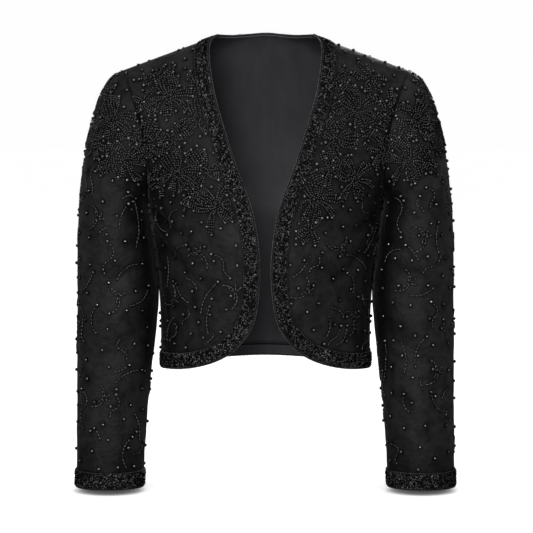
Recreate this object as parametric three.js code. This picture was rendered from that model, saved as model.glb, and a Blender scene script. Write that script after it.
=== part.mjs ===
// A cropped evening jacket with an open, collarless front, long set-in sleeves and beaded borders, filled out as
// it is when worn. Millimetres, +Z up, +X the wearer's left, -Y the front. The origin lies between the wearer's
// shoulders, level with the points where the shoulder seams meet the neck.
import * as THREE from 'three';

const degrees = Math.PI / 180;

// Cloth and seams
const clothThickness = 1.6;
const seamGap = 0.4;
const borderWidth = 22.5;
const borderThickness = 1.8;
const borderLift = 0.35;
const cuffHeight = 24;
const liningGap = 0.8;
const liningThickness = 1.0;
const liningInset = 2;
const turnUpInset = 0.8;
const hemTurnUp = 18;

// Round beads that stand out of the cloth
const beadRadius = 2.4;
const beadHeight = 4.2;
const beadFootRadius = 1.7;
const roomForBead = 10;
const closeBeadRows = 9;
const closeBeadRowsOnSleeve = 3;

// Body
const neckHalfWidth = 66;
const neckBackFall = 0.2;
const hemLevel = -473;
const shoulderEase = 30;
const shoulderBorderReach = 21.2;

// How finely each outline is stepped
const armholeSteps = 12;
const sideSteps = 7;
const shoulderSteps = 8;
const neckSteps = 8;
const sleeveSteps = 21;

// Sleeve sections from the armhole to the wrist. The inner end of each section faces the body and the outer end
// faces away; halfDepth is front to back, midY the section's middle, and bow draws its front and back inwards.
const sleeveSections = [
  { innerX: 167, innerZ: -236, outerX: 203, outerZ: -50, halfDepth: 64, midY: 0, bow: 13 },
  { innerX: 169.5, innerZ: -240, outerX: 220, outerZ: -62, halfDepth: 67, midY: 0, bow: 9 },
  { innerX: 169.5, innerZ: -247, outerX: 235, outerZ: -86, halfDepth: 68, midY: 0, bow: 5 },
  { innerX: 168, innerZ: -258, outerX: 247, outerZ: -122, halfDepth: 68, midY: -1, bow: 2 },
  { innerX: 165, innerZ: -274, outerX: 257, outerZ: -168, halfDepth: 66, midY: -2, bow: 0 },
  { innerX: 161, innerZ: -296, outerX: 263.5, outerZ: -218, halfDepth: 64, midY: -4, bow: 0 },
  { innerX: 157.5, innerZ: -326, outerX: 267, outerZ: -272, halfDepth: 62, midY: -7, bow: 0 },
  { innerX: 154.5, innerZ: -362, outerX: 268.5, outerZ: -330, halfDepth: 60, midY: -10, bow: 0 },
  { innerX: 155.5, innerZ: -405, outerX: 269, outerZ: -390, halfDepth: 57, midY: -13, bow: 0 },
  { innerX: 160.5, innerZ: -456, outerX: 269, outerZ: -450, halfDepth: 54, midY: -16, bow: 0 },
  { innerX: 166.5, innerZ: -513, outerX: 269, outerZ: -510, halfDepth: 51, midY: -20, bow: 0 },
  { innerX: 171, innerZ: -571, outerX: 269.5, outerZ: -571, halfDepth: 48, midY: -24, bow: 0 },
  { innerX: 174.5, innerZ: -641, outerX: 270, outerZ: -641, halfDepth: 46, midY: -30, bow: 0 },
];

// Body sections. "at" runs from 0 at the shoulder seam to 1 at the underarm and 2 at the hem. Each section runs from
// the middle of the body, at midZ, to the armhole or side seam; bulge is how far its middle stands out beyond that
// seam, and wrap is the angle through which it curves.
const frontSections = [
  { at: 0, midZ: 16, bulge: 0, wrap: 40 },
  { at: 0.11, midZ: 7, bulge: 7, wrap: 40 },
  { at: 0.25, midZ: -17, bulge: 10, wrap: 42 },
  { at: 0.42, midZ: -68, bulge: 17, wrap: 46 },
  { at: 0.58, midZ: -126, bulge: 31, wrap: 56 },
  { at: 0.75, midZ: -182, bulge: 57, wrap: 70 },
  { at: 0.89, midZ: -222, bulge: 84, wrap: 82 },
  { at: 1, midZ: -246, bulge: 98, wrap: 90 },
  { at: 1.27, midZ: -300, bulge: 109, wrap: 90 },
  { at: 1.69, midZ: -400, bulge: 105, wrap: 90 },
  { at: 2, midZ: hemLevel, bulge: 101, wrap: 90 },
];
const backSections = [
  { at: 0, midZ: 16, bulge: 0, wrap: 40 },
  { at: 0.11, midZ: 12, bulge: 8, wrap: 42 },
  { at: 0.25, midZ: 0, bulge: 10, wrap: 45 },
  { at: 0.42, midZ: -55, bulge: 13, wrap: 50 },
  { at: 0.58, midZ: -118, bulge: 28, wrap: 60 },
  { at: 0.75, midZ: -176, bulge: 51, wrap: 72 },
  { at: 0.89, midZ: -220, bulge: 75, wrap: 82 },
  { at: 1, midZ: -244, bulge: 88, wrap: 90 },
  { at: 1.27, midZ: -300, bulge: 95, wrap: 90 },
  { at: 1.69, midZ: -400, bulge: 90, wrap: 90 },
  { at: 2, midZ: -466.5, bulge: 88, wrap: 90 },
];
const sideSections = [
  { at: 1, x: 167, z: -236 },
  { at: 1.12, x: 163, z: -262 },
  { at: 1.27, x: 158.5, z: -300 },
  { at: 1.48, x: 153.5, z: -350 },
  { at: 1.69, x: 150.5, z: -400 },
  { at: 2, x: 150, z: hemLevel },
];

// The front's free edge as it is seen from straight ahead: down from the neck, round the corner and along the hem
const frontEdge = [
  { x: neckHalfWidth, z: 0 },
  { x: 76.5, z: -8 },
  { x: 78.5, z: -30 },
  { x: 70, z: -87 },
  { x: 42.5, z: -178 },
  { x: 19, z: -244 },
  { x: 9.5, z: -298 },
  { x: 8.2, z: -345 },
  { x: 15, z: -398 },
  { x: 29, z: -424 },
  { x: 50, z: -446 },
  { x: 74, z: -459 },
  { x: 110, z: -469 },
  { x: 150, z: hemLevel },
];
const edgeCorner = 9;

// Soft troughs in the cloth. On the body "across" runs from 0 at the middle to 1 at the side and "down" as "at"
// does; on a sleeve "across" is the angle round it in half turns from the outside, by the front, and "down" the section.
const frontTroughs = [
  { across: 0.93, down: 0.86, acrossEnd: 0.55, downEnd: 1.22, depth: 3.0, width: 0.055 },
  { across: 0.9, down: 1.2, acrossEnd: 0.5, downEnd: 1.42, depth: 2.2, width: 0.05 },
  { across: 0.62, down: 1.3, acrossEnd: 0.66, downEnd: 1.85, depth: 2.0, width: 0.06 },
];
const backTroughs = [
  { across: 0.92, down: 0.84, acrossEnd: 0.5, downEnd: 1.1, depth: 3.0, width: 0.06 },
  { across: 0.88, down: 1.15, acrossEnd: 0.45, downEnd: 1.32, depth: 2.2, width: 0.055 },
  { across: 0.4, down: 1.35, acrossEnd: 0.46, downEnd: 1.9, depth: 2.4, width: 0.07 },
];
const sleeveTroughs = [
  { across: 0.75, down: 2.0, acrossEnd: 0.62, downEnd: 6.0, depth: 3.2, width: 0.09 },
  { across: 0.85, down: 6.2, acrossEnd: 0.4, downEnd: 7.6, depth: 2.8, width: 0.09 },
  { across: 0.8, down: 8.6, acrossEnd: 0.45, downEnd: 9.4, depth: 2.2, width: 0.08 },
  { across: 1.25, down: 2.2, acrossEnd: 1.4, downEnd: 6.0, depth: 3.2, width: 0.09 },
  { across: 1.2, down: 6.6, acrossEnd: 1.6, downEnd: 8.0, depth: 2.8, width: 0.09 },
  { across: 1.15, down: 9.0, acrossEnd: 1.55, downEnd: 9.8, depth: 2.2, width: 0.08 },
];

// A smooth curve through one column of a table, read at any station
function column(rows, name, station = (row, k) => row.at ?? k) {
  const at = rows.map(station);
  const value = rows.map((row) => row[name]);
  const last = rows.length - 1;
  const slope = value.map((v, k) => {
    const low = Math.max(0, k - 1);
    const high = Math.min(last, k + 1);
    return (value[high] - value[low]) / (at[high] - at[low]);
  });
  return (where) => {
    let k = 0;
    while (k < last - 1 && where > at[k + 1]) k += 1;
    const span = at[k + 1] - at[k];
    const t = Math.min(1, Math.max(0, (where - at[k]) / span));
    const t2 = t * t;
    const t3 = t2 * t;
    return (2 * t3 - 3 * t2 + 1) * value[k] + (t3 - 2 * t2 + t) * span * slope[k]
      + (3 * t2 - 2 * t3) * value[k + 1] + (t3 - t2) * span * slope[k + 1];
  };
}

function columns(rows, names) {
  return Object.fromEntries(names.map((name) => [name, column(rows, name)]));
}

// How deep the troughs are at a point of a surface
function troughDepth(troughs, across, down, scale) {
  let depth = 0;
  for (const trough of troughs) {
    const dx = trough.acrossEnd - trough.across;
    const dy = (trough.downEnd - trough.down) * scale;
    const px = across - trough.across;
    const py = (down - trough.down) * scale;
    const along = (px * dx + py * dy) / (dx * dx + dy * dy);
    const aside = Math.abs(px * dy - py * dx) / Math.hypot(dx, dy);
    if (along > 0 && along < 1) {
      depth += trough.depth * Math.sin(Math.PI * along) * Math.exp(-((aside / trough.width) ** 2));
    }
  }
  return depth;
}

// Sleeve surface of the wearer's left arm. turn is the angle round the section from its outer end by the front.
const sleeve = columns(sleeveSections, Object.keys(sleeveSections[0]));

function plainSleevePoint(turn, section) {
  const cos = Math.cos(turn);
  const sin = Math.sin(turn);
  const innerX = sleeve.innerX(section);
  const innerZ = sleeve.innerZ(section);
  const outerX = sleeve.outerX(section);
  const outerZ = sleeve.outerZ(section);
  return new THREE.Vector3(
    (innerX + outerX) / 2 + ((outerX - innerX) / 2) * cos - sleeve.bow(section) * sin * sin,
    sleeve.midY(section) - sleeve.halfDepth(section) * sin,
    (innerZ + outerZ) / 2 + ((outerZ - innerZ) / 2) * cos,
  );
}

function normalOf(point, u, v, uStep, vStep) {
  const alongU = point(u + uStep, v).sub(point(u - uStep, v));
  const alongV = point(u, v + vStep).sub(point(u, v - vStep));
  return alongU.cross(alongV).normalize();
}

function sleeveNormal(turn, section) {
  const inside = Math.min(sleeveSections.length - 1.02, Math.max(0.02, section));
  return normalOf(plainSleevePoint, turn, inside, 0.01, 0.02);
}

function sleevePoint(turn, section) {
  const halfTurns = ((turn / Math.PI) % 2 + 2) % 2;
  const depth = troughDepth(sleeveTroughs, halfTurns, section, 0.15);
  return plainSleevePoint(turn, section).addScaledVector(sleeveNormal(turn, section), -depth);
}

// Body surface of the wearer's left half. side is -1 for the front and 1 for the back; across runs from 0 at the
// middle of the body to 1 at the armhole or side seam, and down from 0 at the shoulder to 2 at the hem.
const bodyTables = {
  '-1': columns(frontSections, ['midZ', 'bulge', 'wrap']),
  1: columns(backSections, ['midZ', 'bulge', 'wrap']),
};
const sideSeam = columns(sideSections, ['x', 'z']);
const bodyTroughs = { '-1': frontTroughs, 1: backTroughs };

function seamPoint(side, down) {
  if (down >= 1) return new THREE.Vector3(sideSeam.x(down), 0, sideSeam.z(down));
  return plainSleevePoint(side < 0 ? Math.PI * down : -Math.PI * down, 0);
}

// How far ahead or behind the seam lies. Away from the seam its corner at the underarm is rounded off.
function seamDepth(side, across, down) {
  const reach = Math.min(0.16, 0.5 * (1 - Math.abs(across)));
  const stations = [-1, -0.5, 0, 0.5, 1].map((k) => Math.min(2, Math.max(0, down + k * reach)));
  return stations.reduce((sum, station) => sum + seamPoint(side, station).y, 0) / stations.length;
}

function easedWidth(x) {
  return Math.hypot(x, shoulderEase) - shoulderEase;
}

function plainBodyPoint(side, across, down) {
  const table = bodyTables[side];
  const seam = seamPoint(side, down);
  const wrap = table.wrap(down) * degrees;
  const x = (seam.x * Math.sin(wrap * across)) / Math.sin(wrap);
  const standOut = (Math.cos(wrap * across) - Math.cos(wrap)) / (1 - Math.cos(wrap));
  const midZ = table.midZ(down);
  return new THREE.Vector3(
    x,
    seamDepth(side, across, down) + side * table.bulge(down) * standOut,
    midZ + ((seam.z - midZ) * easedWidth(x)) / easedWidth(seam.x),
  );
}

function bodyNormal(side, across, down) {
  const inside = Math.min(1.98, Math.max(0.012, down));
  const step = 0.01;
  const point = (u, v) => plainBodyPoint(side, u, v);
  return normalOf(point, Math.min(across, 0.985), inside, step, step).multiplyScalar(side);
}

function bodyPoint(side, across, down) {
  const depth = troughDepth(bodyTroughs[side], Math.abs(across), down, 1);
  return plainBodyPoint(side, across, down).addScaledVector(bodyNormal(side, across, down), -depth);
}

// The way cloth thickens along a seam. Where two pieces meet in a ridge they share it, and where they meet in a
// valley each keeps its own.
function averaged(...normals) {
  return normals.reduce((sum, n) => sum.add(n), new THREE.Vector3()).normalize();
}

function sharedAtSeam(own, others) {
  const shared = averaged(own.clone(), ...others.map((n) => n.clone()));
  const agreement = Math.min(...others.map((n) => n.dot(own)));
  return own.clone().lerp(shared, THREE.MathUtils.smoothstep(agreement, 0.2, 0.7)).normalize();
}

function bodySeamNormal(side, down) {
  if (down >= 1) return new THREE.Vector3(1, 0, 0);
  const others = [sleeveNormal(-side * Math.PI * down, 0)];
  if (down < 0.01) others.push(bodyNormal(-side, 1, down));
  return sharedAtSeam(bodyNormal(side, 1, down), others);
}

function sleeveSeamNormal(side, down) {
  const others = [bodyNormal(side, 1, down)];
  if (down < 0.01) others.push(bodyNormal(-side, 1, down));
  return sharedAtSeam(sleeveNormal(-side * Math.PI * down, 0), others);
}

function shoulderNormal(across) {
  return averaged(bodyNormal(-1, across, 0), bodyNormal(1, across, 0));
}

// The place on the body surface that is seen from straight ahead at (x, z)
function placeFromAhead(side, x, z) {
  let low = 0;
  let high = 2;
  const levelAt = (down) => {
    const seam = seamPoint(side, down);
    const midZ = bodyTables[side].midZ(down);
    return midZ + ((seam.z - midZ) * easedWidth(x)) / easedWidth(seam.x);
  };
  for (let k = 0; k < 40; k += 1) {
    const middle = (low + high) / 2;
    if (levelAt(middle) > z) low = middle;
    else high = middle;
  }
  const down = (low + high) / 2;
  return { across: acrossFor(side, x, down), down };
}

function acrossFor(side, x, down) {
  const wrap = bodyTables[side].wrap(down) * degrees;
  const sine = (x * Math.sin(wrap)) / seamPoint(side, down).x;
  return Math.asin(Math.max(-1, Math.min(1, sine))) / wrap;
}

// The front's free edge as places on the body surface, stepped evenly between two rows of its table
function edgePlaces(fromRow, toRow, steps) {
  let run = 0;
  const rows = frontEdge.map((row, k) => {
    if (k > 0) run += Math.hypot(row.x - frontEdge[k - 1].x, row.z - frontEdge[k - 1].z);
    return { ...row, at: run };
  });
  const { x, z } = columns(rows, ['x', 'z']);
  const start = rows[fromRow].at;
  const end = rows[toRow].at;
  return Array.from({ length: steps + 1 }, (_, k) => {
    const at = start + ((end - start) * k) / steps;
    return placeFromAhead(-1, x(at), z(at));
  });
}

// A place moved over the body surface by a distance, towards a side of the line that leads along it
function movedAside(side, place, along, distance) {
  const steps = 6;
  const tiny = 0.004;
  let { across, down } = place;
  for (let k = 0; k < steps; k += 1) {
    const here = plainBodyPoint(side, across, down);
    const byAcross = plainBodyPoint(side, across + tiny, down).sub(here).divideScalar(tiny);
    const downStep = down > 1.99 ? -tiny : tiny;
    const byDown = plainBodyPoint(side, across, down + downStep).sub(here).divideScalar(downStep);
    const normal = byAcross.clone().cross(byDown).normalize();
    const aim = normal.cross(along).normalize().multiplyScalar(distance / steps);
    const aa = byAcross.dot(byAcross);
    const ad = byAcross.dot(byDown);
    const dd = byDown.dot(byDown);
    const aimAcross = aim.dot(byAcross);
    const aimDown = aim.dot(byDown);
    const scale = aa * dd - ad * ad;
    across += (aimAcross * dd - aimDown * ad) / scale;
    down += (aimDown * aa - aimAcross * ad) / scale;
  }
  return { across, down };
}

function asideLine(side, places, distance) {
  return places.map((place, k) => {
    const before = places[Math.max(0, k - 1)];
    const after = places[Math.min(places.length - 1, k + 1)];
    const along = plainBodyPoint(side, after.across, after.down)
      .sub(plainBodyPoint(side, before.across, before.down)).normalize();
    return movedAside(side, place, along, distance);
  });
}

// A grid of places between four lines of places
function filledBetween(top, bottom, left, right) {
  const columnsCount = top.length - 1;
  const rowsCount = left.length - 1;
  const mix = (key, i, j) => {
    const s = i / columnsCount;
    const t = j / rowsCount;
    const edges = (1 - t) * top[i][key] + t * bottom[i][key] + (1 - s) * left[j][key] + s * right[j][key];
    const corners = (1 - s) * (1 - t) * top[0][key] + s * (1 - t) * top[columnsCount][key]
      + (1 - s) * t * bottom[0][key] + s * t * bottom[columnsCount][key];
    return edges - corners;
  };
  return left.map((_, j) => top.map((__, i) => ({ across: mix('across', i, j), down: mix('down', i, j) })));
}

// A sheet is a list of points, each with the way the cloth thickens there, and four-sided cells that join them
class Sheet {
  constructor() {
    this.points = [];
    this.cells = [];
    this.beads = new Set();
  }

  add(position, normal) {
    this.points.push({ position, normal });
    return this.points.length - 1;
  }

  // Cells split from their first corner to their third, and those left of the turned column the other way
  addGrid(grid, mark, turnedColumns = 0) {
    const made = [];
    for (let j = 0; j + 1 < grid.length; j += 1) {
      for (let i = 0; i + 1 < grid[j].length; i += 1) {
        const corners = [grid[j][i], grid[j + 1][i], grid[j + 1][i + 1], grid[j][i + 1]];
        if (i < turnedColumns) corners.push(corners.shift());
        this.cells.push({ corners, mark });
        made.push(this.cells.length - 1);
      }
    }
    return made;
  }

  part(...marks) {
    const piece = new Sheet();
    const moved = new Map();
    for (const cell of this.cells.filter((each) => marks.includes(each.mark))) {
      const corners = cell.corners.map((k) => {
        if (!moved.has(k)) moved.set(k, piece.add(this.points[k].position, this.points[k].normal));
        return moved.get(k);
      });
      piece.cells.push({ corners, mark: cell.mark });
    }
    return piece;
  }

  // The edges that only one cell has, each in the order of that cell's corners
  rim() {
    const edges = new Map();
    for (const { corners } of this.cells) {
      corners.forEach((k, n) => {
        const next = corners[(n + 1) % 4];
        if (!edges.delete(`${next},${k}`)) edges.set(`${k},${next}`, [k, next]);
      });
    }
    return [...edges.values()];
  }

  // The same sheet with its rim drawn in by a distance
  drawnIn(distance) {
    const piece = this.part(...new Set(this.cells.map((cell) => cell.mark)));
    const onRim = new Set(piece.rim().flat());
    const aims = new Map();
    for (const { corners } of piece.cells) {
      corners.forEach((k, n) => {
        const beside = [corners[(n + 1) % 4], corners[(n + 3) % 4]].find((each) => !onRim.has(each));
        if (onRim.has(k) && beside !== undefined) aims.set(k, beside);
        else if (onRim.has(k) && !aims.has(k)) aims.set(k, corners[(n + 2) % 4]);
      });
    }
    const places = piece.points.map(({ position }) => position.clone());
    for (const [k, aim] of aims) {
      const way = places[aim].clone().sub(places[k]).setLength(distance);
      piece.points[k] = { ...piece.points[k], position: places[k].clone().add(way) };
    }
    return piece;
  }

  // Marks the cells of a grid that carry a round bead: every fourth near the shoulders and every eleventh below,
  // and none where "rubs" says that sleeve and body rub
  raiseBeads(cells, cellsInRow, closeRows, rubs) {
    cells.forEach((cell, n) => {
      const i = n % cellsInRow;
      const j = Math.floor(n / cellsInRow);
      const close = j < closeRows && (i + 2 * j) % 4 === 0;
      const open = j >= closeRows && (3 * i + 2 * j) % 11 === 0;
      const roomy = this.narrowestWidth(cell) > roomForBead;
      if (j > 0 && roomy && (close || open) && !rubs(i, j)) this.beads.add(cell);
    });
  }

  // The narrowest way across a cell, between the middles of its opposite sides
  narrowestWidth(cell) {
    const ends = this.cells[cell].corners.map((k) => this.points[k].position);
    const middles = ends.map((end, k) => end.clone().lerp(ends[(k + 1) % 4], 0.5));
    return Math.min(middles[0].distanceTo(middles[2]), middles[1].distanceTo(middles[3]));
  }

  mirrored() {
    const piece = new Sheet();
    const flip = (v) => new THREE.Vector3(-v.x, v.y, v.z);
    for (const { position, normal } of this.points) piece.add(flip(position), flip(normal));
    piece.cells = this.cells.map(({ corners: [a, b, c, d], mark }) => ({ corners: [a, d, c, b], mark }));
    piece.beads = this.beads;
    return piece;
  }
}

// A closed wall between two distances from a sheet, measured outwards, with the sheet's beads raised from its top
function wall(sheet, outer, inner) {
  const positions = [];
  const triangles = [];
  const place = (v) => positions.push(v.x, v.y, v.z) / 3 - 1;
  const layer = (distance) => sheet.points.map(
    ({ position, normal }) => place(position.clone().addScaledVector(normal, distance)),
  );
  const top = layer(outer);
  const under = layer(inner);
  const at = (k) => new THREE.Vector3(positions[3 * k], positions[3 * k + 1], positions[3 * k + 2]);
  const quad = (a, b, c, d) => triangles.push(a, b, c, a, c, d);
  const quadUnder = (a, b, c, d) => triangles.push(a, c, b, a, d, c);

  const beadCell = (corners) => {
    const ends = corners.map(at);
    const middle = ends.reduce((sum, v) => sum.add(v), new THREE.Vector3()).divideScalar(4);
    const out = ends[2].clone().sub(ends[0]).cross(ends[3].clone().sub(ends[1])).normalize();
    const ring = (radius, height) => ends.map((end) => {
      const aim = end.clone().sub(middle);
      aim.addScaledVector(out, -aim.dot(out)).setLength(radius);
      return place(middle.clone().add(aim).addScaledVector(out, height));
    });
    const foot = ring(beadFootRadius, 0);
    const waist = ring(beadRadius, beadHeight / 2);
    const crown = place(middle.clone().addScaledVector(out, beadHeight));
    for (let k = 0; k < 4; k += 1) {
      const next = (k + 1) % 4;
      quad(corners[k], corners[next], foot[next], foot[k]);
      quad(foot[k], foot[next], waist[next], waist[k]);
      triangles.push(waist[k], waist[next], crown);
    }
  };

  sheet.cells.forEach((cell, number) => {
    const outerCorners = cell.corners.map((k) => top[k]);
    if (sheet.beads.has(number)) beadCell(outerCorners);
    else quad(...outerCorners);
    quadUnder(...cell.corners.map((k) => under[k]));
  });
  for (const [a, b] of sheet.rim()) quad(top[b], top[a], under[a], under[b]);

  const geometry = new THREE.BufferGeometry();
  geometry.setAttribute('position', new THREE.Float32BufferAttribute(positions, 3));
  geometry.setIndex(triangles);
  geometry.computeVertexNormals();
  return geometry;
}

// Front panel of the wearer's left side, with its border as the strip along the free edge and hem
function frontSheet() {
  const side = -1;
  const rows = armholeSteps + sideSteps;
  const down = edgePlaces(0, edgeCorner, rows);
  const round = edgePlaces(edgeCorner, frontEdge.length - 1, shoulderSteps);
  const edge = [...down, ...round.slice(1)];
  edge[0] = { across: acrossFor(side, neckHalfWidth, 0), down: 0 };
  edge[edge.length - 1] = { across: 1, down: 2 };
  const line = asideLine(side, edge, -borderWidth);
  const hemTop = 2 - borderWidth / ((sideSeam.z(1) - hemLevel));
  const borderAcross = acrossFor(side, neckHalfWidth + shoulderBorderReach, 0);
  line[0] = { across: borderAcross, down: 0 };
  line[line.length - 1] = { across: 1, down: hemTop };

  const shoulder = Array.from({ length: shoulderSteps + 1 }, (_, i) => ({
    across: borderAcross + ((1 - borderAcross) * i) / shoulderSteps, down: 0,
  }));
  const seam = seamPlaces(rows, hemTop);
  const hem = line.slice(rows);
  const inner = filledBetween(shoulder, hem, line.slice(0, rows + 1), seam);

  const sheet = new Sheet();
  const numbers = inner.map((row) => row.map((place) => addPlace(sheet, side, place)));
  const edgeNumbers = edge.map((place) => addPlace(sheet, side, place));
  const lineNumbers = [...numbers.map((row) => row[0]), ...numbers[rows].slice(1)];
  const rubs = (i, j) => i >= shoulderSteps - 2 && j >= armholeSteps - 3 && j < armholeSteps + 5;
  sheet.raiseBeads(sheet.addGrid(numbers, 'cloth'), shoulderSteps, closeBeadRows, rubs);
  sheet.addGrid(edgeNumbers.map((number, k) => [number, lineNumbers[k]]), 'border');
  return sheet;
}

function seamPlaces(rows, hemTop) {
  return Array.from({ length: rows + 1 }, (_, j) => ({
    across: 1,
    down: j <= armholeSteps ? j / armholeSteps : 1 + ((hemTop - 1) * (j - armholeSteps)) / sideSteps,
  }));
}

// A point of a body sheet. Along the shoulder and side seams it keeps half a seam's gap from the other panel.
function addPlace(sheet, side, { across, down }) {
  const onShoulder = down < 1e-6;
  const onSeam = Math.abs(across) > 1 - 1e-6;
  let normal = bodyNormal(side, Math.abs(across), down);
  if (onSeam) normal = bodySeamNormal(side, down);
  else if (onShoulder) normal = shoulderNormal(Math.abs(across));
  const point = bodyPoint(side, Math.abs(across), down);
  if (onShoulder || (onSeam && down > 1 - 1e-6)) point.y += (side * seamGap) / 2;
  if (across < 0) {
    point.x *= -1;
    normal.x *= -1;
  }
  return sheet.add(point, normal);
}

// Back panel, with its borders as the strips along the neck and the hem
function backSheet() {
  const side = 1;
  const rows = armholeSteps + sideSteps;
  const neckAt = (turn) => {
    const down = neckBackFall * Math.sin(turn);
    return { across: acrossFor(side, neckHalfWidth * Math.cos(turn), down), down };
  };
  const neck = Array.from({ length: neckSteps + 1 }, (_, k) => neckAt((Math.PI * k) / neckSteps));
  const neckLine = asideLine(side, neck, -borderWidth);
  const borderAcross = acrossFor(side, neckHalfWidth + shoulderBorderReach, 0);
  neckLine[0] = { across: borderAcross, down: 0 };
  neckLine[neckSteps] = { across: -borderAcross, down: 0 };
  const shoulder = Array.from({ length: shoulderSteps }, (_, i) => ({
    across: 1 - ((1 - borderAcross) * i) / shoulderSteps, down: 0,
  }));
  const mirror = (place) => ({ across: -place.across, down: place.down });
  const top = [...shoulder, ...neckLine, ...[...shoulder].reverse().map(mirror)];
  const count = top.length - 1;
  const hemTop = 2 - borderWidth / (sideSeam.z(1) - hemLevel);
  const level = (down) => top.map((_, i) => ({ across: 1 - (2 * i) / count, down }));
  const left = seamPlaces(rows, hemTop);
  const inner = filledBetween(top, level(hemTop), left, left.map(mirror));

  const sheet = new Sheet();
  const numbers = inner.map((row) => row.map((place) => addPlace(sheet, side, place)));
  const neckNumbers = neck.map((place) => addPlace(sheet, side, place));
  const hemNumbers = level(2).map((place) => addPlace(sheet, side, place));
  const neckTop = numbers[0].slice(shoulderSteps, shoulderSteps + neckSteps + 1);
  sheet.addGrid([neckNumbers, neckTop], 'neckBorder', neckSteps / 2);
  const rubs = (i, j) => (i < 2 || i >= count - 2) && j >= armholeSteps - 3 && j < armholeSteps + 5;
  sheet.raiseBeads(sheet.addGrid(numbers, 'cloth', count / 2), count, closeBeadRows, rubs);
  const turnUpTop = 2 - hemTurnUp / (sideSeam.z(1) - hemLevel);
  const turnUpNumbers = level(turnUpTop).map((place) => addPlace(sheet, side, place));
  sheet.addGrid([numbers[rows], turnUpNumbers], 'hemAboveTurnUp', count / 2);
  sheet.addGrid([turnUpNumbers, hemNumbers], 'hemTurnUp', count / 2);
  return sheet;
}

// Sleeve of the wearer's left arm, with the cuff border as its last band
function sleeveSheet() {
  const sheet = new Sheet();
  const lastSection = sleeveSections.length - 1;
  const cuffTop = lastSection - cuffHeight / (sleeve.innerZ(lastSection - 1) - sleeve.innerZ(lastSection));
  const around = 2 * armholeSteps;
  const { innerX, innerZ, outerX, outerZ } = sleeveSections[0];
  const awayFromBody = new THREE.Vector3(outerZ - innerZ, 0, innerX - outerX).normalize();
  const levels = Array.from({ length: sleeveSteps + 1 }, (_, j) => (cuffTop * j) / sleeveSteps);
  levels.push(lastSection);
  const grid = levels.map((section) => {
    const row = Array.from({ length: around }, (_, k) => {
      const turn = (Math.PI * k) / armholeSteps;
      const point = sleevePoint(turn, section);
      let normal = sleeveNormal(turn, section);
      if (section === 0) {
        const down = k <= armholeSteps ? k / armholeSteps : 2 - k / armholeSteps;
        normal = sleeveSeamNormal(k <= armholeSteps ? -1 : 1, down);
        point.addScaledVector(awayFromBody, seamGap);
      }
      return sheet.add(point, normal);
    });
    return [...row, row[0]].reverse();
  });
  const rubs = (i, j) => Math.abs(i + 0.5 - armholeSteps) < 4 && j < 16;
  sheet.raiseBeads(sheet.addGrid(grid.slice(0, -1), 'cloth'), around, closeBeadRowsOnSleeve, rubs);
  sheet.addGrid(grid.slice(-2), 'cuff');
  return sheet;
}

// Surface finishes
const finish = (color, roughness) => new THREE.MeshStandardMaterial({ color, roughness, metalness: 0 });
const blackCloth = finish(0x1f1f22, 0.75);
const blackBeading = finish(0x141416, 0.3);
const greyLining = finish(0x303034, 0.6);

const jacket = new THREE.Group();

function addPiece(name, geometry, material) {
  const mesh = new THREE.Mesh(geometry, material);
  mesh.name = name;
  jacket.add(mesh);
}

function addBorder(name, sheet) {
  addPiece(name, wall(sheet, borderLift + borderThickness, borderLift), blackBeading);
}

const front = frontSheet();
const back = backSheet();
const arm = sleeveSheet();
const lining = back.part('neckBorder', 'cloth', 'hemAboveTurnUp').drawnIn(liningInset);
const turnUp = back.part('hemTurnUp').drawnIn(turnUpInset);

for (const [hand, sheetFor] of [['left', (sheet) => sheet], ['right', (sheet) => sheet.mirrored()]]) {
  addPiece(`front_${hand}`, wall(sheetFor(front), 0, -clothThickness), blackCloth);
  addPiece(`sleeve_${hand}`, wall(sheetFor(arm), 0, -clothThickness), blackCloth);
  addBorder(`front_border_${hand}`, sheetFor(front.part('border')));
  addBorder(`cuff_border_${hand}`, sheetFor(arm.part('cuff')));
}
addPiece('back', wall(back, 0, -clothThickness), blackCloth);
addBorder('back_neck_border', back.part('neckBorder'));
addBorder('back_hem_border', back.part('hemAboveTurnUp', 'hemTurnUp'));
const liningTop = -clothThickness - liningGap;
addPiece('back_lining', wall(lining, liningTop, liningTop - liningThickness), greyLining);
addPiece('back_hem_turn_up', wall(turnUp, liningTop, liningTop - liningThickness), greyLining);

export default jacket;
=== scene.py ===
"""Beaded bolero jacket: a cropped, collarless evening jacket, filled out as it is when worn.

The cloth, lining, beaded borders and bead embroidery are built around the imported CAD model. Tables are in
millimetres. +Z is up, +X the wearer's left and -Y the front.
"""

import math

import bpy
import numpy as np
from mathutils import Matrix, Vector


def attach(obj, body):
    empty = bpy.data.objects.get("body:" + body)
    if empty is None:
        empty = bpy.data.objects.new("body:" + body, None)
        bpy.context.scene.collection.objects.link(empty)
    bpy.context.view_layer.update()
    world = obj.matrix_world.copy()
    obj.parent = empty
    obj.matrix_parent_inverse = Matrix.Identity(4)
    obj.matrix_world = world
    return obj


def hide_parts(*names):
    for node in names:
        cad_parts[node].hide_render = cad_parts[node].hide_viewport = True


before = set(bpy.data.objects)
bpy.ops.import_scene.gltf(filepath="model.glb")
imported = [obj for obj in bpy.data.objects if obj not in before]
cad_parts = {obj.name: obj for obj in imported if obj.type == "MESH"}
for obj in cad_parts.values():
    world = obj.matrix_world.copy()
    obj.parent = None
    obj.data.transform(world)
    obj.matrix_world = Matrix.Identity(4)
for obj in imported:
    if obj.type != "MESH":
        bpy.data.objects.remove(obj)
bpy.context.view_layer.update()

bl_info = {
    "name": "Beaded Bolero Jacket",
    "version": (1, 0, 0),
    "blender": (4, 5, 0),
    "location": "View3D > Sidebar > Jacket",
    "description": "Cropped evening jacket of crepe with beaded borders and bead embroidery",
    "category": "Add Mesh",
}

MM = 0.001
LEFT, RIGHT = "left", "right"
FRONT, BACK = -1, 1

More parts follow.
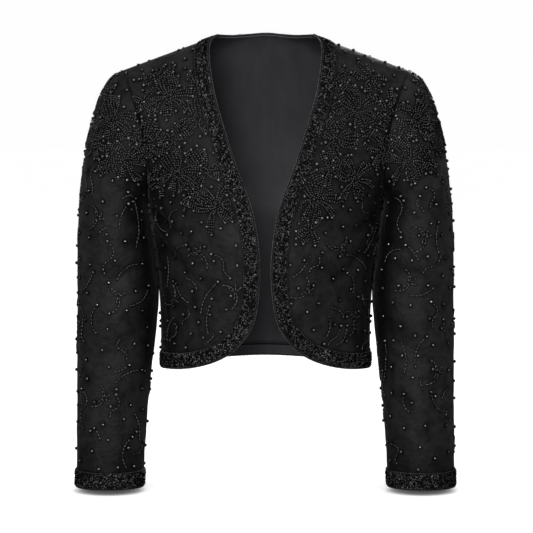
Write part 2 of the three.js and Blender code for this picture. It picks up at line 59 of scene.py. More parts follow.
# ------------------------------------------------------------------------------
# The cut, as tables
# ------------------------------------------------------------------------------

NECK_HALF_WIDTH = 66.0
NECK_BACK_FALL = 0.2
HEM_LEVEL = -473.0
SHOULDER_EASE = 30.0
SEAM_GAP = 0.3
BORDER_WIDTH = 22.5
CUFF_HEIGHT = 24.0
HEM_TURN_UP = 18.0

# Sleeve sections from the armhole to the wrist
SLEEVE_COLUMNS = ("inner_x", "inner_z", "outer_x", "outer_z", "half_depth", "mid_y", "bow")
SLEEVE_ROWS = (
    (167, -236, 203, -50, 64, 0, 13),
    (169.5, -240, 220, -62, 67, 0, 9),
    (169.5, -247, 235, -86, 68, 0, 5),
    (168, -258, 247, -122, 68, -1, 2),
    (165, -274, 257, -168, 66, -2, 0),
    (161, -296, 263.5, -218, 64, -4, 0),
    (157.5, -326, 267, -272, 62, -7, 0),
    (154.5, -362, 268.5, -330, 60, -10, 0),
    (155.5, -405, 269, -390, 57, -13, 0),
    (160.5, -456, 269, -450, 54, -16, 0),
    (166.5, -513, 269, -510, 51, -20, 0),
    (171, -571, 269.5, -571, 48, -24, 0),
    (174.5, -641, 270, -641, 46, -30, 0),
)
WRIST = len(SLEEVE_ROWS) - 1
ARMHOLE_HALF_DEPTH = SLEEVE_ROWS[0][SLEEVE_COLUMNS.index("half_depth")]

# Body sections: "at" is 0 at the shoulder seam, 1 at the underarm and 2 at the hem
BODY_COLUMNS = ("at", "mid_z", "bulge", "wrap")
BODY_ROWS = {
    FRONT: (
        (0, 16, 0, 40),
        (0.11, 7, 7, 40),
        (0.25, -17, 10, 42),
        (0.42, -68, 17, 46),
        (0.58, -126, 31, 56),
        (0.75, -182, 57, 70),
        (0.89, -222, 84, 82),
        (1, -246, 98, 90),
        (1.27, -300, 109, 90),
        (1.69, -400, 105, 90),
        (2, HEM_LEVEL, 101, 90),
    ),
    BACK: (
        (0, 16, 0, 40),
        (0.11, 11, 8, 42),
        (0.25, -3, 10, 45),
        (0.42, -55, 13, 50),
        (0.58, -118, 28, 60),
        (0.75, -176, 51, 72),
        (0.89, -220, 75, 82),
        (1, -244, 88, 90),
        (1.27, -300, 95, 90),
        (1.69, -400, 90, 90),
        (2, -466.5, 88, 90),
    ),
}
SIDE_COLUMNS = ("at", "x", "z")
SIDE_ROWS = (
    (1, 167, -236),
    (1.12, 163, -262),
    (1.27, 158.5, -300),
    (1.48, 153.5, -350),
    (1.69, 150.5, -400),
    (2, 150, HEM_LEVEL),
)

# The front's free edge seen from straight ahead, down from the neck, round the corner and along the hem
EDGE_ROWS = (
    (NECK_HALF_WIDTH, 0),
    (76.5, -8),
    (78.5, -30),
    (70, -87),
    (42.5, -178),
    (19, -244),
    (9.5, -298),
    (8.2, -345),
    (15, -398),
    (29, -424),
    (50, -446),
    (74, -459),
    (110, -469),
    (150, HEM_LEVEL),
)
EDGE_CORNER = 9

# Creases: start (across, down), end (across, down), depth and width. Negative depth is a ridge. On the body,
# across is 0 at the middle and 1 at the side; on a sleeve it is the angle round it in half turns from the
# outside, by the front, and down is the section.
CREASES = {
    FRONT: (
        (0.93, 0.86, 0.55, 1.22, 3.0, 0.055),
        (0.9, 1.2, 0.5, 1.42, 2.2, 0.05),
        (0.62, 1.3, 0.66, 1.85, 2.0, 0.06),
    ),
    BACK: (
        (0.92, 0.84, 0.5, 1.1, 3.0, 0.06),
        (0.88, 1.15, 0.45, 1.32, 2.2, 0.055),
        (0.4, 1.35, 0.46, 1.9, 2.4, 0.07),
    ),
    "sleeve": (
        (0.75, 2.0, 0.62, 6.0, 3.2, 0.09),
        (0.85, 6.2, 0.4, 7.6, 2.8, 0.09),
        (0.8, 8.6, 0.45, 9.4, 2.2, 0.08),
        (1.25, 2.2, 1.4, 6.0, 3.2, 0.09),
        (1.2, 6.6, 1.6, 8.0, 2.8, 0.09),
        (1.15, 9.0, 1.55, 9.8, 2.2, 0.08),
    ),
}
SOFT_CREASES = {
    FRONT: (
        (0.95, 1.0, 0.42, 1.24, 4.2, 0.035),
        (0.84, 1.18, 0.26, 1.56, 3.6, 0.032),
        (0.86, 1.1, 0.5, 1.3, -1.8, 0.03),
        (0.97, 1.05, 0.72, 1.44, 1.6, 0.022),
        (0.84, 0.74, 0.52, 1.02, 1.4, 0.03),
        (0.98, 1.3, 0.8, 1.66, 1.8, 0.025),
        (0.78, 1.45, 0.84, 1.92, 1.8, 0.03),
        (0.34, 1.3, 0.56, 1.72, 1.5, 0.026),
        (0.5, 1.5, 0.42, 1.88, 1.4, 0.028),
        (0.7, 0.3, 0.62, 0.72, 1.0, 0.03),
        (0.88, 1.55, 0.55, 1.74, -1.2, 0.03),
        (0.62, 1.62, 0.7, 1.96, 1.3, 0.02),
    ),
    BACK: (
        (0.97, 0.96, 0.56, 1.16, 3.0, 0.03),
        (0.95, 1.06, 0.42, 1.36, 2.4, 0.03),
        (0.12, 1.1, 0.2, 1.8, 2.0, 0.035),
        (0.66, 1.3, 0.6, 1.9, 2.2, 0.03),
        (0.85, 1.4, 0.8, 1.94, 1.8, 0.028),
        (0.55, 0.5, 0.35, 0.98, 1.6, 0.035),
        (0.8, 0.6, 0.62, 0.98, 1.6, 0.03),
        (0.34, 1.42, 0.3, 1.92, -1.4, 0.03),
    ),
    "sleeve": (
        (0.92, 1.2, 0.66, 3.6, 2.4, 0.045),
        (0.6, 3.2, 0.3, 5.6, 2.0, 0.04),
        (0.86, 4.9, 0.5, 6.3, 3.2, 0.042),
        (0.8, 6.0, 0.16, 8.0, 3.8, 0.04),
        (0.84, 7.2, 0.3, 8.6, -2.0, 0.05),
        (0.88, 7.9, 0.34, 9.3, 2.6, 0.04),
        (0.3, 5.0, 0.2, 7.4, 1.8, 0.04),
        (0.88, 9.4, 0.5, 10.6, 2.0, 0.04),
        (0.36, 9.6, 0.44, 11.5, 1.6, 0.04),
        (0.16, 8.8, 0.1, 11.2, 1.4, 0.045),
        (1.12, 1.4, 1.34, 3.8, 2.4, 0.045),
        (1.12, 4.9, 1.5, 6.4, 2.8, 0.045),
        (1.14, 6.6, 1.7, 8.3, 3.2, 0.042),
        (1.72, 4.6, 1.84, 8.2, 1.8, 0.045),
        (1.14, 9.4, 1.55, 10.7, 2.0, 0.042),
        (1.6, 9.4, 1.66, 11.5, 1.5, 0.045),
    ),
}
SLEEVE_CREASE_SCALE = 0.15
# How far the sleeve is pressed towards the body where they rub: section and distance
SLEEVE_PRESS = ((0, 0), (1, 0.7), (2, 1.8), (3, 2.4), (4, 1.8),
                (5, 0.7), (6, 0.5), (7, 0.7), (8, 0.6), (9.2, 0))
# How far the sleeve bulges in behind the body's side: section and distance
SLEEVE_TUCK = ((0, 0), (1, 2.5), (2, 4.4), (3, 5.4), (4, 6.0),
               (5, 6.2), (6, 6.2), (7, 6.0), (7.7, 4.8), (8.6, 0))
# The lining hangs in soft upright creases: middle, top, bottom, depth, width
LINING_CREASES = (
    (-0.42, 0.5, 1.9, 1.4, 0.05),
    (-0.2, 0.9, 1.95, 1.8, 0.03),
    (-0.06, 0.35, 1.3, 1.0, 0.05),
    (0.03, 1.2, 2.0, 1.6, 0.022),
    (0.16, 0.6, 1.8, 1.3, 0.04),
    (0.34, 0.8, 1.95, 1.6, 0.045),
)

# Petals of the flower sprays: heading, length, rows of small beads, spread of the rows' tips, and the bend
TALL_SPRAY = (
    (0, 40, 8, 25, 0.75),
    (58, 37, 5, 15, -0.9),
    (104, 38, 4, 12, 0.8),
    (158, 27, 4, 13, 0.9),
    (212, 26, 4, 12, -0.8),
    (258, 36, 3, 9, -0.9),
    (-50, 35, 6, 18, -1.0),
)
WIDE_SPRAY = (
    (0, 33, 7, 21, -0.9),
    (56, 36, 6, 18, 0.9),
    (118, 30, 4, 12, -0.9),
    (172, 26, 4, 12, 0.8),
    (222, 31, 5, 15, 0.9),
    (296, 30, 6, 17, 0.95),
)
SMALL_SPRAY = (
    (0, 27, 6, 17, 0.95),
    (74, 24, 4, 12, -0.9),
    (146, 22, 4, 12, 0.85),
    (212, 20, 4, 11, -0.8),
    (280, 25, 4, 12, -0.95),
)

# Where the sprays are: kind, place and the heading of the first petal. On the body the place is x and z seen
# from straight ahead, and on a sleeve it is the angle round it in degrees and the section.
FRONT_SPRAYS = {
    RIGHT: (
        (TALL_SPRAY, 134, -90, 82),
        (WIDE_SPRAY, 166, -152, 100),
        (TALL_SPRAY, 122, -196, 84),
        (WIDE_SPRAY, 94, -120, 128),
        (TALL_SPRAY, 66, -240, 132),
        (SMALL_SPRAY, 96, -72, 70),
        (WIDE_SPRAY, 84, -190, 150),
        (SMALL_SPRAY, 152, -206, 20),
        (SMALL_SPRAY, 168, -98, 160),
        (SMALL_SPRAY, 130, -146, 10),
        (SMALL_SPRAY, 100, -226, 60),
        (SMALL_SPRAY, 152, -62, 20),
    ),
    LEFT: (
        (TALL_SPRAY, 130, -108, 96),
        (WIDE_SPRAY, 164, -164, 60),
        (TALL_SPRAY, 124, -206, 112),
        (WIDE_SPRAY, 98, -150, 40),
        (TALL_SPRAY, 70, -232, 78),
        (SMALL_SPRAY, 98, -66, 130),
        (WIDE_SPRAY, 92, -188, 20),
        (SMALL_SPRAY, 150, -130, 150),
        (SMALL_SPRAY, 170, -106, 60),
        (SMALL_SPRAY, 90, -108, 200),
        (SMALL_SPRAY, 146, -64, 100),
        (SMALL_SPRAY, 60, -272, 40),
    ),
}
BACK_SPRAYS = (
    (TALL_SPRAY, 122, -72, 96),
    (WIDE_SPRAY, 158, -136, 70),
    (TALL_SPRAY, 98, -150, 80),
    (SMALL_SPRAY, 134, -198, 120),
    (WIDE_SPRAY, 56, -92, 60),
    (WIDE_SPRAY, 50, -190, 110),
    (SMALL_SPRAY, 128, -112, 10),
    (SMALL_SPRAY, 88, -212, 200),
)
BACK_MIDDLE_SPRAY = (TALL_SPRAY, 0, -126, 90)
# Arms of a sprig of tube beads: heading, length and bend. Then where the sprigs are: place and heading.
SPRIG_ARMS = ((0, 20, 0.6), (58, 11, -0.5), (122, 13, 0.5), (186, 27, -0.9), (252, 10, 0.4), (305, 14, 0.5))
FRONT_SPRIGS = {
    RIGHT: ((92, -306, 160), (42, -358, 120), (128, -372, 60)),
    LEFT: ((104, -300, 20), (58, -358, 60), (126, -400, 110)),
}
BACK_SPRIGS = ((70, -300, 20), (-84, -352, 100), (8, -392, 60), (-30, -300, 150), (118, -380, 80))
SLEEVE_SPRIGS = {
    RIGHT: ((64, 5.4, 80), (96, 7.4, 110), (80, 10.0, 70), (20, 8.4, 95), (300, 6.2, 60), (250, 9.4, 100)),
    LEFT: ((78, 5.8, 100), (100, 7.0, 70), (60, 9.4, 85), (16, 7.2, 100), (306, 5.4, 80), (262, 8.8, 60)),
}
SLEEVE_SPRAYS = {
    RIGHT: (
        (TALL_SPRAY, 58, 1.9, 84),
        (WIDE_SPRAY, 98, 2.0, 60),
        (WIDE_SPRAY, 42, 3.3, 110),
        (TALL_SPRAY, 14, 1.9, 100),
        (SMALL_SPRAY, 78, 3.2, 30),
        (SMALL_SPRAY, 84, 0.9, 120),
        (WIDE_SPRAY, 328, 2.6, 80),
        (SMALL_SPRAY, 12, 3.4, 40),
        (TALL_SPRAY, 290, 1.7, 96),
        (SMALL_SPRAY, 300, 3.1, 20),
        (SMALL_SPRAY, 350, 0.9, 90),
    ),
    LEFT: (
        (WIDE_SPRAY, 60, 1.8, 70),
        (TALL_SPRAY, 92, 2.5, 104),
        (WIDE_SPRAY, 36, 3.1, 80),
        (WIDE_SPRAY, 14, 1.9, 60),
        (SMALL_SPRAY, 70, 3.4, 160),
        (SMALL_SPRAY, 88, 1.0, 20),
        (TALL_SPRAY, 328, 2.4, 100),
        (SMALL_SPRAY, 8, 3.3, 140),
        (WIDE_SPRAY, 292, 1.7, 84),
        (SMALL_SPRAY, 304, 3.4, 60),
        (SMALL_SPRAY, 352, 0.8, 40),
    ),
}

# The body's bent lines of tube beads: their headings in degrees from across, and shortest and longest length
BODY_LINE_HEADINGS = (75, 100, 60, 130, 40, 150)
BODY_LINE_LENGTHS = (22, 52)
# Spacing of the embroidery's beads along their rows and lines, the least room round each kind, and the room
# between the embroidery and a border
SEED_PITCH = 3.0
TUBE_PITCH = 5.2
SPRIG_PITCH = 4.9
SEED_ROOM = 2.5
TIP_ROOM = 2.6
TUBE_ROOM = 5.0
SCATTER_ROOM = 4.2
YOKE_BEADS_APART = 21.0
LOWER_BEADS_APART = 23.0
TIPS_APART = 9.5
BORDER_ROOM = 1.5

# The borders: the heights of the ground's two faces over the cloth, the rows of the grid that carries a
# border, the packed beads' pitch, and the share of tubes among them
BAND_TOP = 0.95
BAND_UNDERSIDE = 0.35
BAND_ROWS = 9
PACKED_PITCH = 1.98
PACKED_TUBES = 0.2
# The borders' finishes, the share of the packed beads that has each, and the rows of beads by the edges:
# place from the free edge (from the far edge where negative), radius, height, pitch and finish
BAND_FINISHES = ("band", "seed", "bright", "edge", "dark")
PACKED_SHARES = {1: 0.27, 2: 0.25, 4: 0.48}
EDGE_BEAD_ROWS = ((0.0, 0.95, 0.7, 2.05, 3), (-0.7, 0.95, 1.3, 2.5, 1), (2.3, 0.9, 1.9, 2.1, 1))

# Glass beads: roughness, spread of tone, and the reach and the depth of the painted shade ring round each
GLASS = {
    "round": (0.42, 0.15, 0.012, 0.88),
    "seed": (0.42, 0.5, 0.004, 0.6),
    "bright": (0.42, 0.05, 0.004, 0.6),
    "dark": (0.5, 0.5, 0.004, 0.6),
    "tube": (0.58, 0.4, 0.004, 0.6),
    "edge": (0.55, 0.4, 0.004, 0.6),
}
DEEP_SHADE = (0.03, 0.03, 0.03)
FULL_LIGHT = (1.0, 1.0, 1.0)

# The stage, in metres: the light from all sides, the lamps (name, place, size and power), camera and floor
AROUND_LIGHT = 0.24
BACKGROUND_LIGHT = 0.99
LIGHTS = (
    ("front", (-0.45, -3.2, 0.6), 1.1, 49),
    ("left", (-2.6, -0.8, 0.6), 1.0, 17),
    ("right", (2.6, -0.8, 0.6), 1.0, 24),
    ("top", (0.0, -0.6, 2.2), 1.0, 33),
    ("back", (0.5, 3.2, 1.0), 1.1, 42),
)
LIGHTS_SEEN_IN_GLOSS = ("front", "back")
LIGHTS_AIM = (0.0, 0.0, -0.3)
CAMERA_PLACE = (0.0014, -3.0, -0.136)
CAMERA_AIM = (0.0014, 0.0, -0.33)
CAMERA_LENS = 141.7
CAMERA_SENSOR = 36.0
FLOOR_LEVEL = -0.6485
FLOOR_REACH = 60.0

# ------------------------------------------------------------------------------
# Surfaces
# ------------------------------------------------------------------------------


class Curve:
    """A smooth curve through one column of a table."""

    def __init__(self, at, value):
        self.at = np.array(at, float)
        self.value = np.array(value, float)
        rows = np.arange(len(self.at))
        low = np.maximum(rows - 1, 0)
        high = np.minimum(rows + 1, len(rows) - 1)
        self.slope = (self.value[high] - self.value[low]) / (self.at[high] - self.at[low])

    def __call__(self, where):
        where = np.asarray(where, float)
        k = np.clip(np.searchsorted(self.at, where, side="left") - 1, 0, len(self.at) - 2)
        span = self.at[k + 1] - self.at[k]
        t = np.clip((where - self.at[k]) / span, 0, 1)
        t2, t3 = t * t, t * t * t
        return (
            (2 * t3 - 3 * t2 + 1) * self.value[k]
            + (t3 - 2 * t2 + t) * span * self.slope[k]
            + (3 * t2 - 2 * t3) * self.value[k + 1]
            + (t3 - t2) * span * self.slope[k + 1]
        )


def curves(names, rows, at=None):
    """One curve for each named column. The stations are the rows' numbers, or the column that "at" names."""
    values = np.array(rows, float)
    stations = np.arange(len(rows)) if at is None else values[:, names.index(at)]
    return {name: Curve(stations, values[:, k]) for k, name in enumerate(names)}


SLEEVE = curves(SLEEVE_COLUMNS, SLEEVE_ROWS)
BODY = {side: curves(BODY_COLUMNS, rows, "at") for side, rows in BODY_ROWS.items()}
SIDE_SEAM = curves(SIDE_COLUMNS, SIDE_ROWS, "at")


def share_of(distance, reach):
    """0 at the start and 1 from the reach on."""
    return np.clip(distance / reach, 0, 1)


def unit(vectors):
    return vectors / np.maximum(np.linalg.norm(vectors, axis=-1, keepdims=True), 1e-9)


def sleeve_plain(turn, section):
    """The smooth sleeve of the wearer's left arm. turn is the angle from the outer end by the front."""
    cos, sin = np.cos(turn), np.sin(turn)
    inner_x, outer_x = SLEEVE["inner_x"](section), SLEEVE["outer_x"](section)
    inner_z, outer_z = SLEEVE["inner_z"](section), SLEEVE["outer_z"](section)
    return np.stack(
        [
            (inner_x + outer_x) / 2 + (outer_x - inner_x) / 2 * cos - SLEEVE["bow"](section) * sin * sin,
            SLEEVE["mid_y"](section) - SLEEVE["half_depth"](section) * sin,
            (inner_z + outer_z) / 2 + (outer_z - inner_z) / 2 * cos,
        ],
        axis=-1,
    )


def eased_width(x):
    return np.hypot(x, SHOULDER_EASE) - SHOULDER_EASE


def seam_point(side, down):
    """The armhole seam down to the underarm, and the side seam below it."""
    down = np.asarray(down, float)
    ring = sleeve_plain(-side * np.pi * np.minimum(down, 1), np.zeros_like(down))
    below = np.stack([SIDE_SEAM["x"](down), np.zeros_like(down), SIDE_SEAM["z"](down)], axis=-1)
    return np.where((down >= 1)[..., None], below, ring)


def near_seam(side, across, down):
    """The seam's y and z as the cloth away from it feels them, with the underarm's corner rounded off."""
    away = 1 - np.abs(across)
    soft = np.minimum(0.35, 0.6 * away) * share_of(down, 0.4)
    ahead = np.sin(np.pi * np.minimum(down, 1.5))
    depth = ARMHOLE_HALF_DEPTH * (ahead + np.sqrt(ahead**2 + soft**2)) / 2
    reach = np.minimum(np.minimum(0.14, 0.4 * away), np.minimum(down, 2 - down))
    shares = np.linspace(-1, 1, 9)
    levels = [seam_point(side, np.clip(down + share * reach, 0, 2))[..., 2] for share in shares]
    return side * depth, sum(levels) / len(levels)


def body_plain(side, across, down):
    """The smooth body: across is 0 at the middle and 1 at the wearer's left armhole or side seam."""
    across, down = np.broadcast_arrays(np.asarray(across, float), np.asarray(down, float))
    seam_x = seam_point(side, down)[..., 0]
    seam_y, seam_z = near_seam(side, across, down)
    wrap = np.radians(BODY[side]["wrap"](down))
    x = seam_x * np.sin(wrap * across) / np.sin(wrap)
    stand_out = (np.cos(wrap * across) - np.cos(wrap)) / (1 - np.cos(wrap))
    mid_z = BODY[side]["mid_z"](down)
    return np.stack(
        [
            x,
            seam_y + side * BODY[side]["bulge"](down) * stand_out,
            mid_z + (seam_z - mid_z) * eased_width(x) / eased_width(seam_x),
        ],
        axis=-1,
    )


def normal_of(surface, u, v, u_step, v_step):
    along_u = surface(u + u_step, v) - surface(u - u_step, v)
    along_v = surface(u, v + v_step) - surface(u, v - v_step)
    return unit(np.cross(along_u, along_v))


def crease_depth(creases, across, down, scale):
    depth = 0
    for start_across, start_down, end_across, end_down, deep, width in creases:
        dx, dy = end_across - start_across, (end_down - start_down) * scale
        px, py = across - start_across, (down - start_down) * scale
        along = (px * dx + py * dy) / (dx * dx + dy * dy)
        aside = np.abs(px * dy - py * dx) / math.hypot(dx, dy)
        inside = np.sin(np.pi * np.clip(along, 0, 1))
        depth = depth + deep * inside * np.exp(-((aside / width) ** 2))
    return depth


def ripple(point, amount):
    """Slight unevenness of hanging cloth, in millimetres."""
    x, y, z = point[..., 0], point[..., 1], point[..., 2]
    return amount * (
        np.sin(0.071 * x + 0.033 * z + 1.3)
        + np.sin(0.052 * z - 0.064 * y + 0.4)
        + 0.7 * np.sin(0.13 * x - 0.09 * z + 0.05 * y + 2.1)
        + 0.5 * np.sin(0.21 * z + 0.16 * x + 4.0)
    )


def sleeve_point(turn, section):
    turn, section = np.broadcast_arrays(np.asarray(turn, float), np.asarray(section, float))
    plain = sleeve_plain(turn, section)
    inside = np.clip(section, 0.02, WRIST - 0.02)
    normal = normal_of(sleeve_plain, turn, inside, 0.01, 0.02)
    half_turns = (turn / np.pi) % 2
    creases = CREASES["sleeve"] + SOFT_CREASES["sleeve"]
    depth = crease_depth(creases, half_turns, section, SLEEVE_CREASE_SCALE)
    fade = share_of(section, 1.2) * share_of(WRIST - section, 0.8)
    depth = depth + fade * ripple(plain, 0.28)
    beside_body = np.exp(-(((half_turns - 1) / 0.17) ** 2))
    rubbed = beside_body * share_of(SLEEVE_PRESS[-1][0] - section, 1.5)
    behind_body = np.exp(-(((half_turns - 1.145) / 0.07) ** 2))
    pushed = beside_body * np.interp(section, *np.array(SLEEVE_PRESS).T)
    pushed = pushed + behind_body * np.interp(section, *np.array(SLEEVE_TUCK).T)
    return plain - normal * (depth * (1 - rubbed) - pushed)[..., None]


def body_point(side, across, down):
    across, down = np.broadcast_arrays(np.asarray(across, float), np.asarray(down, float))
    plain = body_plain(side, across, down)
    off_seam, off_ends = np.clip(across, -0.985, 0.985), np.clip(down, 0.012, 1.98)
    normal = side * normal_of(lambda u, v: body_plain(side, u, v), off_seam, off_ends, 0.01, 0.01)
    depth = crease_depth(CREASES[side] + SOFT_CREASES[side], np.abs(across), down, 1)
    fade = share_of(down, 0.2) * share_of(2 - down, 0.15) * share_of(1 - np.abs(across), 0.08)
    depth = depth + fade * ripple(plain, 0.25)
    rubbed = share_of(np.abs(across) - 0.86, 0.08) * share_of(1.75 - down, 0.15) * share_of(down - 0.9, 0.1)
    return plain - normal * (depth * (1 - rubbed))[..., None]


def steps_along(aim, by_u, by_v):
    """How far the two numbers of a place go for the place to move by aim."""
    uu, uv, vv = (by_u * by_u).sum(-1), (by_u * by_v).sum(-1), (by_v * by_v).sum(-1)
    au, av = (aim * by_u).sum(-1), (aim * by_v).sum(-1)
    scale = uu * vv - uv * uv
    return (au * vv - av * uv) / scale, (av * uu - au * uv) / scale


def distance_along(points):
    """The distance run from the first of a line of points to each."""
    return np.concatenate([[0], np.cumsum(np.linalg.norm(np.diff(points, axis=0), axis=-1))])


class Surface:
    """One face of the cloth as a function of two numbers, on the wearer's left or mirrored to the right."""

    samples = {}

    def __init__(self, kind, hand=LEFT):
        self.kind, self.hand = kind, hand
        self.point, self.u_range, self.v_range, self.u_step, self.v_step, self.outward = SHAPES[kind]
        self.is_round = kind == "sleeve"
        self.us = np.linspace(*self.u_range, 200)
        self.vs = np.linspace(*self.v_range, 260)
        if kind not in self.samples:
            u, v = np.meshgrid(self.us, self.vs, indexing="ij")
            self.samples[kind] = np.concatenate(self.exact(u, v, mirrored=False), axis=-1)

    def exact(self, u, v, mirrored=True):
        """Points, outward normals, and how the point moves with u and with v."""
        u, v = np.broadcast_arrays(np.asarray(u, float), np.asarray(v, float))
        low = np.clip(v - self.v_step, *self.v_range)
        high = np.clip(v + self.v_step, *self.v_range)
        point = self.point(u, v)
        by_u = (self.point(u + self.u_step, v) - self.point(u - self.u_step, v)) / (2 * self.u_step)
        by_v = (self.point(u, high) - self.point(u, low)) / (high - low)[..., None]
        normal = self.outward * unit(np.cross(by_u, by_v))
        return self.handed(mirrored, point, normal, by_u, by_v)

    def handed(self, mirrored, *vectors):
        if mirrored and self.hand == RIGHT:
            return tuple(vector * np.array([-1.0, 1.0, 1.0]) for vector in vectors)
        return vectors

    def at(self, u, v):
        """The same as exact, read between samples. This is quick for the many small beads."""
        u, v = np.broadcast_arrays(np.asarray(u, float), np.asarray(v, float))
        if self.is_round:
            u = np.mod(u, 2 * np.pi)
        low_u, high_u = self.u_range
        low_v, high_v = self.v_range
        i = np.clip((u - low_u) / (high_u - low_u), 0, 1) * (len(self.us) - 1)
        j = np.clip((v - low_v) / (high_v - low_v), 0, 1) * (len(self.vs) - 1)
        i0 = np.minimum(i.astype(int), len(self.us) - 2)
        j0 = np.minimum(j.astype(int), len(self.vs) - 2)
        s, t = (i - i0)[..., None], (j - j0)[..., None]
        grid = self.samples[self.kind]
        near = grid[i0, j0] * (1 - s) + grid[i0 + 1, j0] * s
        far = grid[i0, j0 + 1] * (1 - s) + grid[i0 + 1, j0 + 1] * s
        values = near * (1 - t) + far * t
        point, normal, by_u, by_v = (values[..., k : k + 3] for k in (0, 3, 6, 9))
        return self.handed(True, point, unit(normal), by_u, by_v)

    def moved(self, u, v, side, up):
        """Numbers of the places that lie "side" and "up" millimetres from (u, v), along the cloth."""
        steps = 3
        for _ in range(steps):
            _, normal, by_u, by_v = self.at(u, v)
            up_way = unit(np.array([0.0, 0.0, 1.0]) - normal * normal[..., 2:])
            side_way = unit(np.cross(up_way, normal))
            aim = (side_way * np.asarray(side)[..., None] + up_way * np.asarray(up)[..., None]) / steps
            u_step, v_step = steps_along(aim, by_u, by_v)
            u, v = u + u_step, v + v_step
        return u, v


SHAPES = {
    "front": (lambda u, v: body_point(FRONT, u, v), (0.0, 1.0), (0.0, 2.0), 0.004, 0.004, FRONT),
    "back": (lambda u, v: body_point(BACK, u, v), (-1.0, 1.0), (0.0, 2.0), 0.004, 0.004, BACK),
    "sleeve": (sleeve_point, (0.0, 2 * np.pi), (0.0, float(WRIST)), 0.01, 0.02, 1),
}


def across_for(side, x, down):
    wrap = np.radians(BODY[side]["wrap"](down))
    sine = x * np.sin(wrap) / seam_point(side, down)[..., 0]
    return np.arcsin(np.clip(sine, -1, 1)) / wrap


def place_from_ahead(side, x, z):
    """The place on the body that is seen from straight ahead at (x, z)."""
    x, z = np.broadcast_arrays(np.asarray(x, float), np.asarray(z, float))
    low, high = np.zeros_like(x), np.full_like(x, 2.0)
    for _ in range(30):
        middle = (low + high) / 2
        above = body_plain(side, across_for(side, x, middle), middle)[..., 2] > z
        low, high = np.where(above, middle, low), np.where(above, high, middle)
    down = (low + high) / 2
    return across_for(side, x, down), down


# ------------------------------------------------------------------------------
# Lines and grids of places on the body
# ------------------------------------------------------------------------------


def front_edge_from_ahead(count, from_row=0, to_row=len(EDGE_ROWS) - 1):
    """x and z along the front's free edge, evenly stepped between two rows of its table."""
    rows = np.array(EDGE_ROWS, float)
    run = np.concatenate([[0], np.cumsum(np.hypot(*np.diff(rows, axis=0).T))])
    at = np.linspace(run[from_row], run[to_row], count)
    return Curve(run, rows[:, 0])(at), Curve(run, rows[:, 1])(at)


def front_edge(count, from_row=0, to_row=len(EDGE_ROWS) - 1):
    """Places on the body along the same edge."""
    across, down = place_from_ahead(FRONT, *front_edge_from_ahead(count, from_row, to_row))
    if from_row == 0:
        across[0], down[0] = across_for(FRONT, NECK_HALF_WIDTH, np.array(0.0)), 0
    if to_row == len(EDGE_ROWS) - 1:
        across[-1], down[-1] = 1, 2
    return across, down


def back_neck_edge(count):
    """Places along the back neck, from the wearer's left shoulder to the right."""
    turn = np.linspace(0, np.pi, count)
    down = NECK_BACK_FALL * np.sin(turn) ** 1.5
    return across_for(BACK, NECK_HALF_WIDTH * np.cos(turn), down), down


def hem_station(height):
    """The station on the body that is a height above the hem."""
    return 2 - height / (SIDE_SEAM["z"](1) - HEM_LEVEL)


def cuff_station(height):
    """The section of the sleeve that is a height above the wrist's edge."""
    return WRIST - height / (SLEEVE["inner_z"](WRIST - 1) - SLEEVE["inner_z"](WRIST))


def strip(side, across, down, start_way, end_way):
    """Places beside a line over the body, in rows from the line to the border's width.

    start_way and end_way are the shares of across and down in the way that each end follows its seam.
    """
    rows = [(across, down)]
    seam_reach = 32.0
    tiny = 0.004
    widths = np.linspace(0, BORDER_WIDTH, BAND_ROWS)
    run = distance_along(body_plain(side, across, down))
    for narrow, wide in zip(widths[:-1], widths[1:]):
        here = body_plain(side, across, down)
        down_tiny = np.where(down > 1.99, -tiny, tiny)
        by_across = (body_plain(side, across + tiny, down) - here) / tiny
        by_down = (body_plain(side, across, down + down_tiny) - here) / down_tiny[..., None]
        along = unit(np.gradient(here, axis=0))
        normal = unit(np.cross(by_across, by_down))
        way = unit(np.cross(along, normal))
        for (in_across, in_down), distance in ((start_way, run), (end_way, run[-1] - run)):
            seam_way = unit(in_across * by_across + in_down * by_down)
            share = np.clip(1 - distance / seam_reach, 0, 1)[..., None]
            share = share * share * (3 - 2 * share)
            way = unit(way * (1 - share) + seam_way * share)
        across_step, down_step = steps_along(way * (wide - narrow), by_across, by_down)
        across, down = across + across_step, np.clip(down + down_step, 0, 2)
        rows.append((across, down))
    return np.array([row[0] for row in rows]), np.array([row[1] for row in rows])


def filled_between(top, bottom, left, right):
    """A grid of places between four lines of places, each an array of (across, down)."""
    s = np.linspace(0, 1, top.shape[0])[None, :, None]
    t = np.linspace(0, 1, left.shape[0])[:, None, None]
    edges = (1 - t) * top[None] + t * bottom[None] + (1 - s) * left[:, None] + s * right[:, None]
    top_corners = (1 - s) * (1 - t) * top[0] + s * (1 - t) * top[-1]
    return edges - (top_corners + (1 - s) * t * bottom[0] + s * t * bottom[-1])


def seam_stations(count, last=2.0):
    """Stations down the armhole and side seam, more closely spaced round the armhole."""
    knee = 0.63
    t = np.linspace(0, 1, count)
    return np.where(t < knee, t / knee, 1 + (last - 1) * (t - knee) / (1 - knee))


def front_grid(rows, columns):
    left = np.stack(front_edge(rows, 0, EDGE_CORNER), axis=-1)
    bottom = np.stack(front_edge(columns, EDGE_CORNER), axis=-1)
    top = np.stack([np.linspace(left[0, 0], 1, columns), np.zeros(columns)], axis=-1)
    right = np.stack([np.ones(rows), seam_stations(rows)], axis=-1)
    bottom[-1] = right[-1]
    return filled_between(top, bottom, left, right)


